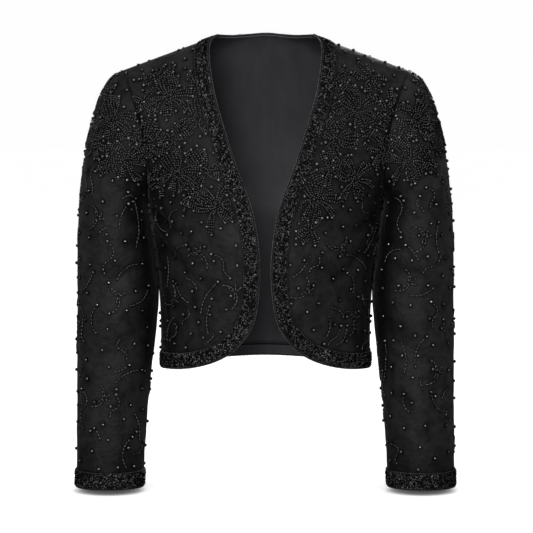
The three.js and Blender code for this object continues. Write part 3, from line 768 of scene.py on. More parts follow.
def back_grid(rows, columns, last=2.0):
    """The back from the wearer's left seam to the right. Its top follows the shoulders and the neck."""
    neck_share = 0.36
    neck_columns = int(columns * neck_share) // 2 * 2 + 1
    side_columns = (columns - neck_columns) // 2
    neck = np.stack(back_neck_edge(neck_columns), axis=-1)
    shoulder = np.stack([np.linspace(1, neck[0, 0], side_columns + 1)[:-1], np.zeros(side_columns)], axis=-1)
    mirrored = shoulder[::-1] * np.array([-1, 1])
    top = np.concatenate([shoulder, neck, mirrored])
    bottom = np.stack([np.linspace(1, -1, len(top)), np.full(len(top), last)], axis=-1)
    left = np.stack([np.ones(rows), seam_stations(rows, last)], axis=-1)
    return filled_between(top, bottom, left, left * np.array([-1, 1]))


# ------------------------------------------------------------------------------
# Meshes
# ------------------------------------------------------------------------------


class Solid:
    """Vertices and faces of one piece, gathered part by part."""

    def __init__(self):
        self.vertices, self.faces, self.finishes, self.smooth, self.count = [], [], [], [], 0

    def add(self, vertices, faces, finish=0, smooth=True):
        self.vertices.append(np.asarray(vertices, float).reshape(-1, 3))
        self.faces.append(np.asarray(faces, int) + self.count)
        self.finishes.append(np.full(len(faces), finish))
        self.smooth.append(np.broadcast_to(smooth, len(faces)))
        self.count += len(self.vertices[-1])

    def add_shell(self, points, normals, outer, inner, closed=False):
        """A wall between two distances from a grid of points. closed joins the last column to the first."""
        rows, columns = points.shape[:2]
        total = rows * columns
        number = np.arange(total).reshape(rows, columns)
        if closed:
            number = np.concatenate([number, number[:, :1]], axis=1)
        corners = [number[:-1, :-1], number[1:, :-1], number[1:, 1:], number[:-1, 1:]]
        quads = np.stack(corners, axis=-1).reshape(-1, 4)
        facing = np.cross(points[1, 0] - points[0, 0], points[0, 1] - points[0, 0]) @ normals[0, 0]
        if facing < 0:
            quads = quads[:, ::-1]
        rims = [number[0], number[-1][::-1]]
        if not closed:
            rims += [number[:, -1], number[:, 0][::-1]]
        walls = []
        for rim in rims:
            wall = np.stack([rim[:-1], rim[1:], rim[1:] + total, rim[:-1] + total], axis=-1)
            walls.append(wall if facing > 0 else wall[:, ::-1])
        faces = np.concatenate([quads, quads[:, ::-1] + total, *walls])
        skins = [(points + normals * distance).reshape(-1, 3) for distance in (outer, inner)]
        self.add(np.concatenate(skins), faces, smooth=np.arange(len(faces)) < 2 * len(quads))

    def add_copies(self, shape, centres, ways, normals, scale, finish=0):
        """Copies of a small shape, with its x along "ways" and its z along "normals". scale is per axis."""
        if not len(centres):
            return
        vertices, faces = shape
        normals = unit(normals)
        ways = unit(ways - normals * (ways * normals).sum(-1, keepdims=True))
        sides = np.cross(normals, ways)
        scale = np.broadcast_to(np.asarray(scale, float), (len(centres), 3))
        local = vertices[None] * scale[:, None]
        world = (
            centres[:, None]
            + local[..., :1] * ways[:, None]
            + local[..., 1:2] * sides[:, None]
            + local[..., 2:] * normals[:, None]
        )
        offsets = np.arange(len(centres))[:, None, None] * len(vertices)
        self.add(world, (faces[None] + offsets).reshape(-1, faces.shape[1]), finish)

    def build(self, name, materials):
        mesh = bpy.data.meshes.new(name)
        faces = [face for part in self.faces for face in part.tolist()]
        mesh.from_pydata((np.concatenate(self.vertices) * MM).tolist(), [], faces)
        mesh.polygons.foreach_set("material_index", np.concatenate(self.finishes).astype(np.int32))
        mesh.polygons.foreach_set("use_smooth", np.concatenate(self.smooth))
        for material in materials:
            mesh.materials.append(material)
        mesh.update()
        piece = bpy.data.objects.new(name, mesh)
        bpy.context.scene.collection.objects.link(piece)
        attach(piece, "root")
        return piece


def seed_shape():
    """A small round bead with twelve corners."""
    golden = (1 + math.sqrt(5)) / 2
    corners = np.array(
        [(-1, golden, 0), (1, golden, 0), (-1, -golden, 0), (1, -golden, 0)]
        + [(0, -1, golden), (0, 1, golden), (0, -1, -golden), (0, 1, -golden)]
        + [(golden, 0, -1), (golden, 0, 1), (-golden, 0, -1), (-golden, 0, 1)],
        float,
    )
    faces = np.array(
        [(0, 11, 5), (0, 5, 1), (0, 1, 7), (0, 7, 10), (0, 10, 11)]
        + [(1, 5, 9), (5, 11, 4), (11, 10, 2), (10, 7, 6), (7, 1, 8)]
        + [(3, 9, 4), (3, 4, 2), (3, 2, 6), (3, 6, 8), (3, 8, 9)]
        + [(4, 9, 5), (2, 4, 11), (6, 2, 10), (8, 6, 7), (9, 8, 1)]
    )
    return unit(corners), faces


def round_shape(around=10, rings=5):
    """A round bead, with its pole along z."""
    vertices, faces = [(0, 0, 1.0)], []
    for j in range(1, rings + 1):
        tilt = math.pi * j / (rings + 1)
        for i in range(around):
            turn = 2 * math.pi * i / around
            flat = math.sin(tilt)
            vertices.append((flat * math.cos(turn), flat * math.sin(turn), math.cos(tilt)))
    vertices.append((0, 0, -1.0))
    last = len(vertices) - 1
    for i in range(around):
        after = (i + 1) % around
        faces.append((0, 1 + i, 1 + after))
        for j in range(rings - 1):
            a, b = 1 + j * around + i, 1 + j * around + after
            faces.append((a, a + around, b + around))
            faces.append((a, b + around, b))
        faces.append((last, 1 + (rings - 1) * around + after, 1 + (rings - 1) * around + i))
    return np.array(vertices), np.array(faces)


def bugle_shape(around=6):
    """A cut tube bead along x, from -1 to 1."""
    turn = 2 * np.pi * np.arange(around) / around
    ring = np.stack([np.zeros(around), np.cos(turn), np.sin(turn)], axis=-1)
    vertices = np.concatenate([ring + [-1, 0, 0], ring + [1, 0, 0]])
    faces = []
    for i in range(around):
        after = (i + 1) % around
        faces += [(i, after, after + around), (i, after + around, i + around)]
    for i in range(1, around - 1):
        faces += [(0, i + 1, i), (around, around + i, around + i + 1)]
    return vertices, np.array(faces)


def cut_shape():
    """A small cut bead with eight corners and twelve faces."""
    turn = np.pi * np.arange(6) / 3
    ring = np.stack([np.cos(turn), np.sin(turn), np.zeros(6)], axis=-1)
    corners = np.concatenate([ring, [(0, 0, 1), (0, 0, -1)]])
    faces = [(i, (i + 1) % 6, 6) for i in range(6)] + [((i + 1) % 6, i, 7) for i in range(6)]
    return corners, np.array(faces)


SEED = seed_shape()
CUT = cut_shape()
ROUND = round_shape()
BUGLE = bugle_shape()


# ------------------------------------------------------------------------------
# Finishes
# ------------------------------------------------------------------------------


def new_material(name):
    """A material, its node tree and its shader."""
    material = bpy.data.materials.new(name)
    material.use_nodes = True
    tree = material.node_tree
    return material, tree, next(node for node in tree.nodes if node.type == "BSDF_PRINCIPLED")


def object_place(tree):
    return tree.nodes.new("ShaderNodeTexCoord").outputs["Object"]


def noise(tree, place, scale, detail, roughness):
    node = tree.nodes.new("ShaderNodeTexNoise")
    node.inputs["Scale"].default_value = scale
    node.inputs["Detail"].default_value = detail
    node.inputs["Roughness"].default_value = roughness
    tree.links.new(place, node.inputs["Vector"])
    return node.outputs["Fac"]


def ramp(tree, factor, low, low_color, high, high_color):
    """A colour that goes from one to the other while the factor goes from low to high."""
    node = tree.nodes.new("ShaderNodeValToRGB")
    tree.links.new(factor, node.inputs["Fac"])
    for element, position, color in zip(node.color_ramp.elements, (low, high), (low_color, high_color)):
        element.position = position
        element.color = (*color, 1)
    return node.outputs["Color"]


def bump(tree, height, distance, strength, after=None):
    node = tree.nodes.new("ShaderNodeBump")
    node.inputs["Distance"].default_value = distance
    node.inputs["Strength"].default_value = strength
    tree.links.new(height, node.inputs["Height"])
    if after is not None:
        tree.links.new(after, node.inputs["Normal"])
    return node.outputs["Normal"]


def open_sky(tree, reach, samples):
    """The share of each place's surroundings that nothing within reach covers."""
    node = tree.nodes.new("ShaderNodeAmbientOcclusion")
    node.inputs["Distance"].default_value = reach
    node.samples = samples
    return node.outputs["AO"]


def shaded_where_close(tree, tone, reach, darkest, clear):
    """The tone made darker where something within reach keeps the light away, as between crowded beads.

    darkest and clear are the shares of open sky at which the shade is full and at which it ends.
    """
    shade = ramp(tree, open_sky(tree, reach, samples=8), darkest, DEEP_SHADE, clear, FULL_LIGHT)
    darker = tree.nodes.new("ShaderNodeMix")
    darker.data_type = "RGBA"
    darker.blend_type = "MULTIPLY"
    darker.inputs["Factor"].default_value = 1.0
    tree.links.new(tone, darker.inputs["A"])
    tree.links.new(shade, darker.inputs["B"])
    return darker.outputs["Result"]


def scaled(color, share):
    return tuple(min(1.0, channel * share) for channel in color[:3])


def crepe_material(color):
    """Matt black silk crepe, slightly crushed, with a dull sheen, and with painted shade beside the beads and
    in folds and hollows.
    """
    material, tree, shader = new_material("black_crepe")
    place = object_place(tree)
    crush = noise(tree, place, scale=80, detail=4, roughness=0.6)
    grain = noise(tree, place, scale=1300, detail=2, roughness=0.6)
    cloudy = noise(tree, place, scale=32, detail=3, roughness=0.55)
    both = tree.nodes.new("ShaderNodeMix")
    both.inputs["Factor"].default_value = 0.5
    tree.links.new(cloudy, both.inputs["A"])
    tree.links.new(crush, both.inputs["B"])
    mottle = ramp(tree, both.outputs["Result"], 0.36, scaled(color, 0.5), 0.64, scaled(color, 1.5))
    # Painted shade: the crepe's colour is darkened beside the beads and, over a longer reach, in folds and
    # between the sleeves and the body.
    painted_shade_beside_beads = shaded_where_close(tree, mottle, reach=0.006, darkest=0.72, clear=0.97)
    painted_shade_in_folds = shaded_where_close(tree, painted_shade_beside_beads, reach=0.12, darkest=0.6, clear=0.9)
    tree.links.new(painted_shade_in_folds, shader.inputs["Base Color"])
    rough = tree.nodes.new("ShaderNodeMapRange")
    rough.inputs["To Min"].default_value = 0.5
    rough.inputs["To Max"].default_value = 0.72
    tree.links.new(crush, rough.inputs["Value"])
    tree.links.new(rough.outputs["Result"], shader.inputs["Roughness"])
    shader.inputs["Specular IOR Level"].default_value = 0.25
    shader.inputs["Sheen Weight"].default_value = 0.05
    shader.inputs["Sheen Roughness"].default_value = 0.4
    folds = bump(tree, crush, distance=0.0032, strength=0.85)
    crepe = bump(tree, grain, distance=0.0003, strength=0.45, after=folds)
    tree.links.new(crepe, shader.inputs["Normal"])
    return material


def band_ground_and_shade_material(color):
    """The ground that the border's beads are sewn on, made darker than the cloth as painted shade in the gaps
    between the packed beads.
    """
    material, tree, shader = new_material("border_ground")
    grain = noise(tree, object_place(tree), scale=900, detail=2, roughness=0.5)
    # Painted shade: the ground's tone is kept below the cloth's, so the gaps between the packed beads read
    # dark.
    tone = ramp(tree, grain, 0.3, scaled(color, 0.3), 0.7, scaled(color, 0.6))
    tree.links.new(tone, shader.inputs["Base Color"])
    shader.inputs["Roughness"].default_value = 0.8
    tree.links.new(bump(tree, grain, distance=0.0004, strength=0.5), shader.inputs["Normal"])
    return material


def glass_material(kind, color):
    """Opaque glass beads with a metal gloss, each a tone apart from the next, with painted shade where the
    bead comes near the cloth and its neighbours.
    """
    roughness, spread, reach, darkest = GLASS[kind]
    material, tree, shader = new_material(f"{kind}_glass")
    patches = noise(tree, object_place(tree), scale=520, detail=1, roughness=0.5)
    tone = ramp(tree, patches, 0.36, scaled(color, 1 - spread), 0.64, scaled(color, 1 + spread))
    # Painted shade: a dark ring round each bead where the cloth and the next beads are close.
    tone = shaded_where_close(tree, tone, reach, darkest, clear=0.99)
    tree.links.new(tone, shader.inputs["Base Color"])
    shader.inputs["Roughness"].default_value = roughness
    shader.inputs["Metallic"].default_value = 1.0
    return material


def satin_material(color):
    """Dark grey lining satin with a soft gloss and a fine upright weave, with painted shade where the jacket
    closes round it.
    """
    material, tree, shader = new_material("lining_satin")
    stretch = tree.nodes.new("ShaderNodeMapping")
    stretch.inputs["Scale"].default_value = (1.0, 1.0, 0.16)
    tree.links.new(object_place(tree), stretch.inputs["Vector"])
    creases = noise(tree, stretch.outputs["Vector"], scale=55, detail=3, roughness=0.5)
    weave = noise(tree, stretch.outputs["Vector"], scale=1600, detail=1, roughness=0.5)
    tone = ramp(tree, creases, 0.3, scaled(color, 0.86), 0.7, scaled(color, 1.12))
    # Painted shade: the satin is darker where the rest of the jacket is near, low between the fronts and
    # under their edges.
    tone = shaded_where_close(tree, tone, reach=0.22, darkest=0.0, clear=0.8)
    tree.links.new(tone, shader.inputs["Base Color"])
    shader.inputs["Roughness"].default_value = 0.6
    shader.inputs["Specular IOR Level"].default_value = 0.2
    folds = bump(tree, creases, distance=0.0012, strength=0.35)
    satin = bump(tree, weave, distance=0.0002, strength=0.3, after=folds)
    tree.links.new(satin, shader.inputs["Normal"])
    return material


def floor_material(color):
    """A pale floor that glows nearly as bright as the light on it, with painted shadow where the jacket comes
    near.
    """
    material, tree, shader = new_material("pale_floor")
    shader.inputs["Base Color"].default_value = (*scaled(color, 0.5), 1)
    shader.inputs["Roughness"].default_value = 1.0
    shader.inputs["Specular IOR Level"].default_value = 0.0
    # Painted shadow: the floor's glow fades where the jacket is near, as under the cuffs.
    open_sky_for_painted_shadow = open_sky(tree, reach=0.24, samples=16)
    glow_with_painted_shadow = ramp(tree, open_sky_for_painted_shadow, 0.0, scaled(color, 0.0), 0.92, scaled(color, 1.0))
    tree.links.new(glow_with_painted_shadow, shader.inputs["Emission Color"])
    shader.inputs["Emission Strength"].default_value = 0.875
    return material


MATERIALS = {}


def finish(name):
    """One material of the jacket, made when it is first asked for."""
    if name not in MATERIALS:
        colors = bpy.context.scene.jacket_colors
        makers = {
            "crepe": lambda: crepe_material(colors.cloth),
            "band": lambda: band_ground_and_shade_material(colors.cloth),
            "satin": lambda: satin_material(colors.lining),
            "floor": lambda: floor_material(colors.floor),
        }
        if name in GLASS:
            MATERIALS[name] = glass_material(name, getattr(colors, f"{name}_beads"))
        else:
            MATERIALS[name] = makers[name]()
    return MATERIALS[name]


# ------------------------------------------------------------------------------
# Bead work
# ------------------------------------------------------------------------------


class Beading:
    """Bead embroidery on one surface: places of small, round and tube beads, and what room they take."""

    def __init__(self, surface, seed):
        self.surface = surface
        self.random = np.random.default_rng(seed)
        self.seeds, self.rounds, self.bugles = [], [], []
        self.taken = np.zeros((0, 3))

    def take(self, points):
        self.taken = np.concatenate([self.taken, points])

    def room(self, points):
        """How far each point is from the nearest bead."""
        if not len(self.taken):
            return np.full(len(points), np.inf)
        return np.linalg.norm(self.taken[None] - points[:, None], axis=-1).min(1)

    def add_round(self, u, v):
        points, normals, _, _ = self.surface.at(np.atleast_1d(u), np.atleast_1d(v))
        self.rounds.append((points, normals))
        self.take(points)

    def add_bugles(self, u, v):
        """A line of tube beads: each joins two neighbouring places and leaves a small space."""
        points, normals, _, _ = self.surface.at(u, v)
        middle = (points[1:] + points[:-1]) / 2
        ways = points[1:] - points[:-1]
        self.bugles.append((middle, ways, unit(normals[1:] + normals[:-1])))
        self.take(middle)

    def local_line(self, u, v, side, up):
        return self.surface.moved(np.full(len(side), u), np.full(len(side), v), side, up)

    def spray(self, petals, u, v, heading, inside):
        """A flower of petals: bent rows of small beads that spread from a stalk, with round beads at tips."""
        for turn, length, rows, spread, bend in petals:
            turn = math.radians(heading + turn + self.random.uniform(-7, 7))
            length = length * self.random.uniform(0.92, 1.08)
            middle = (rows - 1) / 2
            for k in range(rows):
                lean = (k - middle) / max(middle, 1)
                reach = length * (1 - 0.16 * lean * lean)
                start = 4.0 + 2.0 * ((k + 1) % 2)
                along = np.arange(start, reach, SEED_PITCH)
                share = along / length
                aside = lean * spread / 2 * share**0.75 + bend * length * 0.55 * (share - 0.2) ** 2
                side = along * math.cos(turn) - aside * math.sin(turn)
                up = along * math.sin(turn) + aside * math.cos(turn)
                places = self.local_line(u, v, side, up)
                self.add_row(*places, inside)
                if k % 2 == 0 or rows < 3:
                    way = np.array([side[-1] - side[-2], up[-1] - up[-2]])
                    tip = np.array([side[-1], up[-1]]) + way / np.linalg.norm(way) * 3.6
                    self.add_tip(*self.local_line(u, v, tip[:1], tip[1:]), inside)
        angle = np.linspace(0, 2 * np.pi, 7, endpoint=False)
        self.add_row(*self.local_line(u, v, 2.6 * np.cos(angle), 2.6 * np.sin(angle)), inside)

    def add_row(self, u, v, inside):
        """The part of a row of small beads that lies inside the embroidered area and clear of other beads."""
        points, normals, _, _ = self.surface.at(u, v)
        ways = np.gradient(points, axis=0)
        clear = inside(u, v) & (self.room(points) > SEED_ROOM)
        if clear.any():
            self.seeds.append((points[clear], ways[clear], normals[clear]))
            self.take(points[clear])

    def add_tip(self, u, v, inside):
        point = self.surface.at(u, v)[0]
        apart = all(np.linalg.norm(other - point) > TIPS_APART for other, _ in self.rounds)
        if apart and inside(u, v)[0] and self.room(point).min() > TIP_ROOM:
            self.add_round(u, v)

    def tube_line(self, u, v, heading, length, bend, turn_back, with_round, inside):
        """A bent line of tube beads, with a round bead at its tip if asked. turn_back makes it an S."""
        count = max(3, round(length / TUBE_PITCH) + 1)
        along = np.linspace(-0.5, 0.5, count)
        angle = math.radians(heading) + bend * (along if not turn_back else 0.6 * np.cos(2 * np.pi * along))
        step = np.stack([np.cos(angle), np.sin(angle)], axis=-1) * TUBE_PITCH
        path = np.cumsum(step, axis=0)
        path -= path[count // 2]
        places = self.local_line(u, v, path[:, 0], path[:, 1])
        points = self.surface.at(*places)[0]
        if not inside(*places).all() or self.room(points).min() <= TUBE_ROOM:
            return False
        self.add_bugles(*places)
        if with_round:
            tip = path[-1] + (path[-1] - path[-2]) * 0.8
            self.add_tip(*self.local_line(u, v, tip[:1], tip[1:]), inside)
        return True

    def tube_lines(self, wanted, u_range, v_range, headings, lengths, inside):
        """Bent lines of tube beads in free places, until there are enough."""
        made = 0
        for _ in range(60 * wanted):
            u, v = self.random.uniform(*u_range), self.random.uniform(*v_range)
            if not inside(np.array([u]), np.array([v]))[0]:
                continue
            heading = self.random.choice(headings) + self.random.uniform(-12, 12)
            length = self.random.uniform(*lengths)
            bend = self.random.choice([-1, 1]) * self.random.uniform(0.5, 1.7)
            made += self.tube_line(u, v, heading, length, bend, made % 3 == 0, made % 2 == 0, inside)
            if made == wanted:
                return

    def sprig(self, u, v, heading):
        """A few bent tube lines that meet at one place."""
        for turn, length, bend in SPRIG_ARMS:
            along = np.arange(1.4, length + 1.4, SPRIG_PITCH)
            angle = np.radians(heading + turn) + bend * along / length
            self.add_bugles(*self.local_line(u, v, along * np.cos(angle), along * np.sin(angle)))

    def scatter(self, count, u_range, v_range, distance, inside):
        """Round beads a varying distance apart, inside the embroidered area."""
        kept = np.zeros((0, 3))
        us = self.random.uniform(*u_range, count)
        vs = self.random.uniform(*v_range, count)
        allowed = inside(us, vs)
        points = self.surface.at(us, vs)[0]
        for u, v, point, ok in zip(us, vs, points, allowed):
            if not ok:
                continue
            room = distance * self.random.uniform(0.8, 1.25)
            if len(kept) and np.linalg.norm(kept - point, axis=-1).min() < room:
                continue
            if self.room(point[None]).min() <= SCATTER_ROOM:
                continue
            kept = np.concatenate([kept, point[None]])
            self.add_round(u, v)

    def build(self, name, sizes):
        solid = Solid()
        diameters = (sizes.seed_diameter, sizes.round_diameter, sizes.tube_diameter)
        seed_radius, round_radius, tube_radius = (diameter / MM / 2 for diameter in diameters)
        points, ways, normals = (np.concatenate(part) for part in zip(*self.seeds))
        wobble = self.random.normal(0, 0.12, points.shape)
        spread = self.random.uniform(0.88, 1.1, (len(points), 1))
        lift = normals * (0.8 * seed_radius)
        shape = np.array([0.82, 1.0, 1.0]) * seed_radius * spread
        solid.add_copies(SEED, points + lift + wobble, ways, normals, shape, 0)
        points, normals = (np.concatenate(part) for part in zip(*self.rounds))
        ways = np.cross(normals, self.random.normal(0, 1, normals.shape))
        spread = self.random.uniform(0.9, 1.06, (len(points), 1))
        lift = normals * (0.25 * round_radius)
        solid.add_copies(ROUND, points + lift, ways, normals, round_radius * spread * np.ones(3), 1)
        points, ways, normals = (np.concatenate(part) for part in zip(*self.bugles))
        half = np.linalg.norm(ways, axis=-1, keepdims=True) * 0.45
        thick = np.full_like(half, tube_radius)
        shape = np.concatenate([half, thick, thick], axis=1)
        lift = normals * (0.8 * tube_radius)
        solid.add_copies(BUGLE, points + lift, ways, normals, shape, 2)
        return solid.build(name, [finish("seed"), finish("round"), finish("tube")])


def packed_band(points, normals, seed, closed=False):
    """A border: a band packed with small beads and tubes at all angles, with rows of beads by its edges. Its
    ground is darker than the cloth, as painted shade between the beads.

    points is a grid: rows run across the band from the free edge, and columns along it.
    """
    random = np.random.default_rng(seed)
    solid = Solid()
    solid.add_shell(points, normals, BAND_TOP, BAND_UNDERSIDE, closed)
    if closed:
        points = np.concatenate([points, points[:, :1]], axis=1)
        normals = np.concatenate([normals, normals[:, :1]], axis=1)
    run = distance_along(points[points.shape[0] // 2])
    width_run = np.linalg.norm(np.diff(points, axis=0), axis=-1).sum(0).mean()

    def on_band(across, along):
        """Points and normals at millimetres across and along the band."""
        j = np.clip(across / width_run, 0, 1) * (points.shape[0] - 1)
        i = np.interp(along, run, np.arange(len(run)))
        j0 = np.minimum(j.astype(int), points.shape[0] - 2)
        i0 = np.minimum(i.astype(int), points.shape[1] - 2)
        s, t = (j - j0)[:, None], (i - i0)[:, None]

        def blend(grid):
            low = grid[j0, i0] * (1 - t) + grid[j0, i0 + 1] * t
            high = grid[j0 + 1, i0] * (1 - t) + grid[j0 + 1, i0 + 1] * t
            return low * (1 - s) + high * s

        return blend(points), unit(blend(normals))

    rows, columns = int((width_run - 4.0) / PACKED_PITCH), int(run[-1] / PACKED_PITCH)
    across, along = np.meshgrid(np.arange(rows) + 0.5, np.arange(columns) + 0.5, indexing="ij")
    across = 2.6 + across.ravel() * PACKED_PITCH + random.uniform(-0.6, 0.6, across.size)
    along = along.ravel() * PACKED_PITCH + random.uniform(-0.6, 0.6, along.size)
    place, normal = on_band(across, along)
    ways = unit(random.normal(0, 1, place.shape))
    lift = random.uniform(1.0, 2.4, (len(place), 1))
    tubes = random.random(len(place)) < PACKED_TUBES
    kind = random.choice(tuple(PACKED_SHARES), len(place), p=tuple(PACKED_SHARES.values()))
    spread = random.uniform(0.84, 1.2, (len(place), 1))
    tipped = unit(normal + random.normal(0, 0.3, normal.shape))
    centres = place + normal * lift
    for number in PACKED_SHARES:
        for chosen, shape, size in ((tubes, BUGLE, (1.6, 0.65, 0.65)), (~tubes, CUT, (0.85, 1, 1))):
            pick = chosen & (kind == number)
            sizes = np.array(size) * spread[pick]
            solid.add_copies(shape, centres[pick], ways[pick], tipped[pick], sizes, number)

    for across, radius, height, gap, number in EDGE_BEAD_ROWS:
        along = np.arange(gap / 2, run[-1], gap)
        from_edge = across if across >= 0 else width_run + across
        place, normal = on_band(np.full(len(along), from_edge), along)
        ways = np.gradient(place, axis=0)
        size = np.array([0.9, 1, 1]) * radius * random.uniform(0.93, 1.05, (len(place), 1))
        solid.add_copies(CUT, place + normal * height, ways, normal, size, number)
    return solid


def band_piece(name, solid, node):
    piece = solid.build(name, [finish(each) for each in BAND_FINISHES])
    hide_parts(node)
    return piece


# ------------------------------------------------------------------------------
# Settings and operators
# ------------------------------------------------------------------------------


def length_setting(name, description, default, least, most):
    return bpy.props.FloatProperty(
        name=name, description=description, default=default, min=least, max=most, unit="LENGTH"
    )


def color_setting(name, description, default):
    return bpy.props.FloatVectorProperty(
        name=name, description=description, default=default, min=0, max=1, subtype="COLOR"
    )


class JacketSizes(bpy.types.PropertyGroup):
    """Sizes of the cloth and beads."""

    cloth_thickness: length_setting("Cloth thickness", "Crepe with its backing", 0.0016, 0.001, 0.003)
    lining_thickness: length_setting("Lining thickness", "Lining satin", 0.001, 0.0005, 0.002)
    lining_gap: length_setting("Lining gap", "Room between cloth and lining", 0.0008, 0, 0.003)
    seed_diameter: length_setting("Small beads", "Diameter of the small beads", 0.0028, 0.001, 0.004)
    round_diameter: length_setting("Round beads", "Diameter of the large round beads", 0.005, 0.002, 0.008)
    tube_diameter: length_setting("Tube beads", "Diameter of the tube beads", 0.0016, 0.0008, 0.003)


class JacketColors(bpy.types.PropertyGroup):
    """Colours of the cloth, beads and floor."""

    cloth: color_setting("Cloth", "Black crepe", (0.0135, 0.0135, 0.0144))
    seed_beads: color_setting("Small beads", "Small beads", (0.38, 0.38, 0.39))
    bright_beads: color_setting("Bright beads", "Brightest small beads of the borders", (0.95, 0.95, 0.96))
    round_beads: color_setting("Round beads", "Large round beads", (0.75, 0.75, 0.76))
    tube_beads: color_setting("Tube beads", "Tube beads of the lines and sprigs", (0.38, 0.38, 0.39))
    edge_beads: color_setting("Edge beads", "Beads on the free edge of the borders", (0.7, 0.7, 0.71))
    dark_beads: color_setting("Dark beads", "Darkest small beads of the borders", (0.01, 0.01, 0.0105))
    lining: color_setting("Lining", "Dark grey satin", (0.064, 0.063, 0.0705))
    floor: color_setting("Floor", "Pale floor", (1.0, 1.0, 1.0))


def cloth_piece(name, node, material, points, normals, outer, inner, closed=False):
    """A wall of cloth between two distances from a grid of points, in the place of one node."""
    solid = Solid()
    solid.add_shell(points, normals, outer, inner, closed)
    piece = solid.build(name, [finish(material)])
    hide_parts(node)
    return piece


class JACKET_OT_add_fronts(bpy.types.Operator):
    """Add the two front panels"""

    bl_idname = "jacket.add_fronts"
    bl_label = "Fronts"

    def execute(self, context):
        thickness = context.scene.jacket_sizes.cloth_thickness / MM
        grid = front_grid(130, 56)
        for hand in (LEFT, RIGHT):
            points, normals, _, _ = Surface("front", hand).exact(grid[..., 0], grid[..., 1])
            points[0, :, 1] -= SEAM_GAP / 2
            name, node = f"front_{hand}_cloth", f"front_{hand}"
            piece = cloth_piece(name, node, "crepe", points, normals, 0, -thickness)
        return {"FINISHED"}


class JACKET_OT_add_back(bpy.types.Operator):
    """Add the back panel"""

    bl_idname = "jacket.add_back"
    bl_label = "Back"

    def execute(self, context):
        thickness = context.scene.jacket_sizes.cloth_thickness / MM
        grid = back_grid(130, 110)
        points, normals, _, _ = Surface("back").exact(grid[..., 0], grid[..., 1])
        points[0, :, 1] += SEAM_GAP / 2
        piece = cloth_piece("back_cloth", "back", "crepe", points, normals, 0, -thickness)
        return {"FINISHED"}


class JACKET_OT_add_sleeves(bpy.types.Operator):
    """Add the two set-in sleeves"""

    bl_idname = "jacket.add_sleeves"
    bl_label = "Sleeves"

    def execute(self, context):
        thickness = context.scene.jacket_sizes.cloth_thickness / MM
        turns = np.linspace(0, 2 * np.pi, 80, endpoint=False)
        sections = np.linspace(0, WRIST, 145)
        turn, section = np.meshgrid(turns, sections)
        for hand in (LEFT, RIGHT):
            points, normals, _, _ = Surface("sleeve", hand).exact(turn, section)
            sign = 1 if hand == LEFT else -1
            inner_x, inner_z, outer_x, outer_z = SLEEVE_ROWS[0][:4]
            away = unit(np.array([outer_z - inner_z, 0, inner_x - outer_x], float)) * (sign, 1, 1)
            points[0] += away * SEAM_GAP
            name, node = f"sleeve_{hand}_cloth", f"sleeve_{hand}"
            piece = cloth_piece(name, node, "crepe", points, normals, 0, -thickness, True)
        return {"FINISHED"}


class JACKET_OT_add_lining(bpy.types.Operator):
    """Add the back's lining and the hem's turned-up strip"""

    bl_idname = "jacket.add_lining"
    bl_label = "Lining"

    def execute(self, context):
        sizes = context.scene.jacket_sizes
        outer = -(sizes.cloth_thickness + sizes.lining_gap) / MM
        inner = outer - sizes.lining_thickness / MM
        turn_up_top = hem_station(HEM_TURN_UP)
        grid = back_grid(90, 100, turn_up_top - 0.004)
        surface = Surface("back")
        points, normals, _, _ = surface.exact(grid[..., 0] * 0.985, np.maximum(grid[..., 1], 0.012))
        depth = 0
        for middle, top, bottom, deep, width in LINING_CREASES:
            along = np.clip((grid[..., 1] - top) / (bottom - top), 0, 1)
            depth = depth + deep * np.sin(np.pi * along) * np.exp(-(((grid[..., 0] - middle) / width) ** 2))
        points = points - normals * depth[..., None]
        lining = cloth_piece(
            "back_lining_satin", "back_lining", "satin", points, normals, outer, inner
        )

        across = np.linspace(0.985, -0.985, 120)
        down = np.linspace(turn_up_top + 0.004, 1.997, 7)
        across, down = np.meshgrid(across, down)
        points, normals, _, _ = surface.exact(across, down)
        middle_seam = 0.7 * np.exp(-((across / 0.006) ** 2))
        points = points - normals * middle_seam[..., None]
        turn_up = cloth_piece(
            "hem_turn_up_satin", "back_hem_turn_up", "satin", points, normals, outer, inner
        )
        return {"FINISHED"}


class JACKET_OT_add_borders(bpy.types.Operator):
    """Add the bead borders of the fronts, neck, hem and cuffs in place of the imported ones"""

    bl_idname = "jacket.add_borders"
    bl_label = "Borders"

    def execute(self, context):
        across, down = strip(FRONT, *front_edge(330), start_way=(1, 0), end_way=(0, -1))
        for seed, hand in ((11, LEFT), (12, RIGHT)):
            points, normals, _, _ = Surface("front", hand).exact(across, down)
            band = packed_band(points, normals, seed)
            band_piece(f"front_border_{hand}_beads", band, f"front_border_{hand}")

        across, down = strip(BACK, *back_neck_edge(90), start_way=(1, 0), end_way=(-1, 0))
        points, normals, _, _ = Surface("back").exact(across, down)
        band_piece("back_neck_beads", packed_band(points, normals, 13), "back_neck_border")

        stations = np.linspace(2, hem_station(BORDER_WIDTH), BAND_ROWS)
        across, down = np.meshgrid(np.linspace(1, -1, 220), stations)
        points, normals, _, _ = Surface("back").exact(across, down)
        band_piece("back_hem_beads", packed_band(points, normals, 14), "back_hem_border")

        turns = np.linspace(0, 2 * np.pi, 160, endpoint=False)
        turn, section = np.meshgrid(turns, np.linspace(WRIST, cuff_station(CUFF_HEIGHT), BAND_ROWS))
        for seed, hand in ((15, LEFT), (16, RIGHT)):
            points, normals, _, _ = Surface("sleeve", hand).exact(turn, section)
            band = packed_band(points, normals, seed, closed=True)
            band_piece(f"cuff_{hand}_beads", band, f"cuff_border_{hand}")
        return {"FINISHED"}


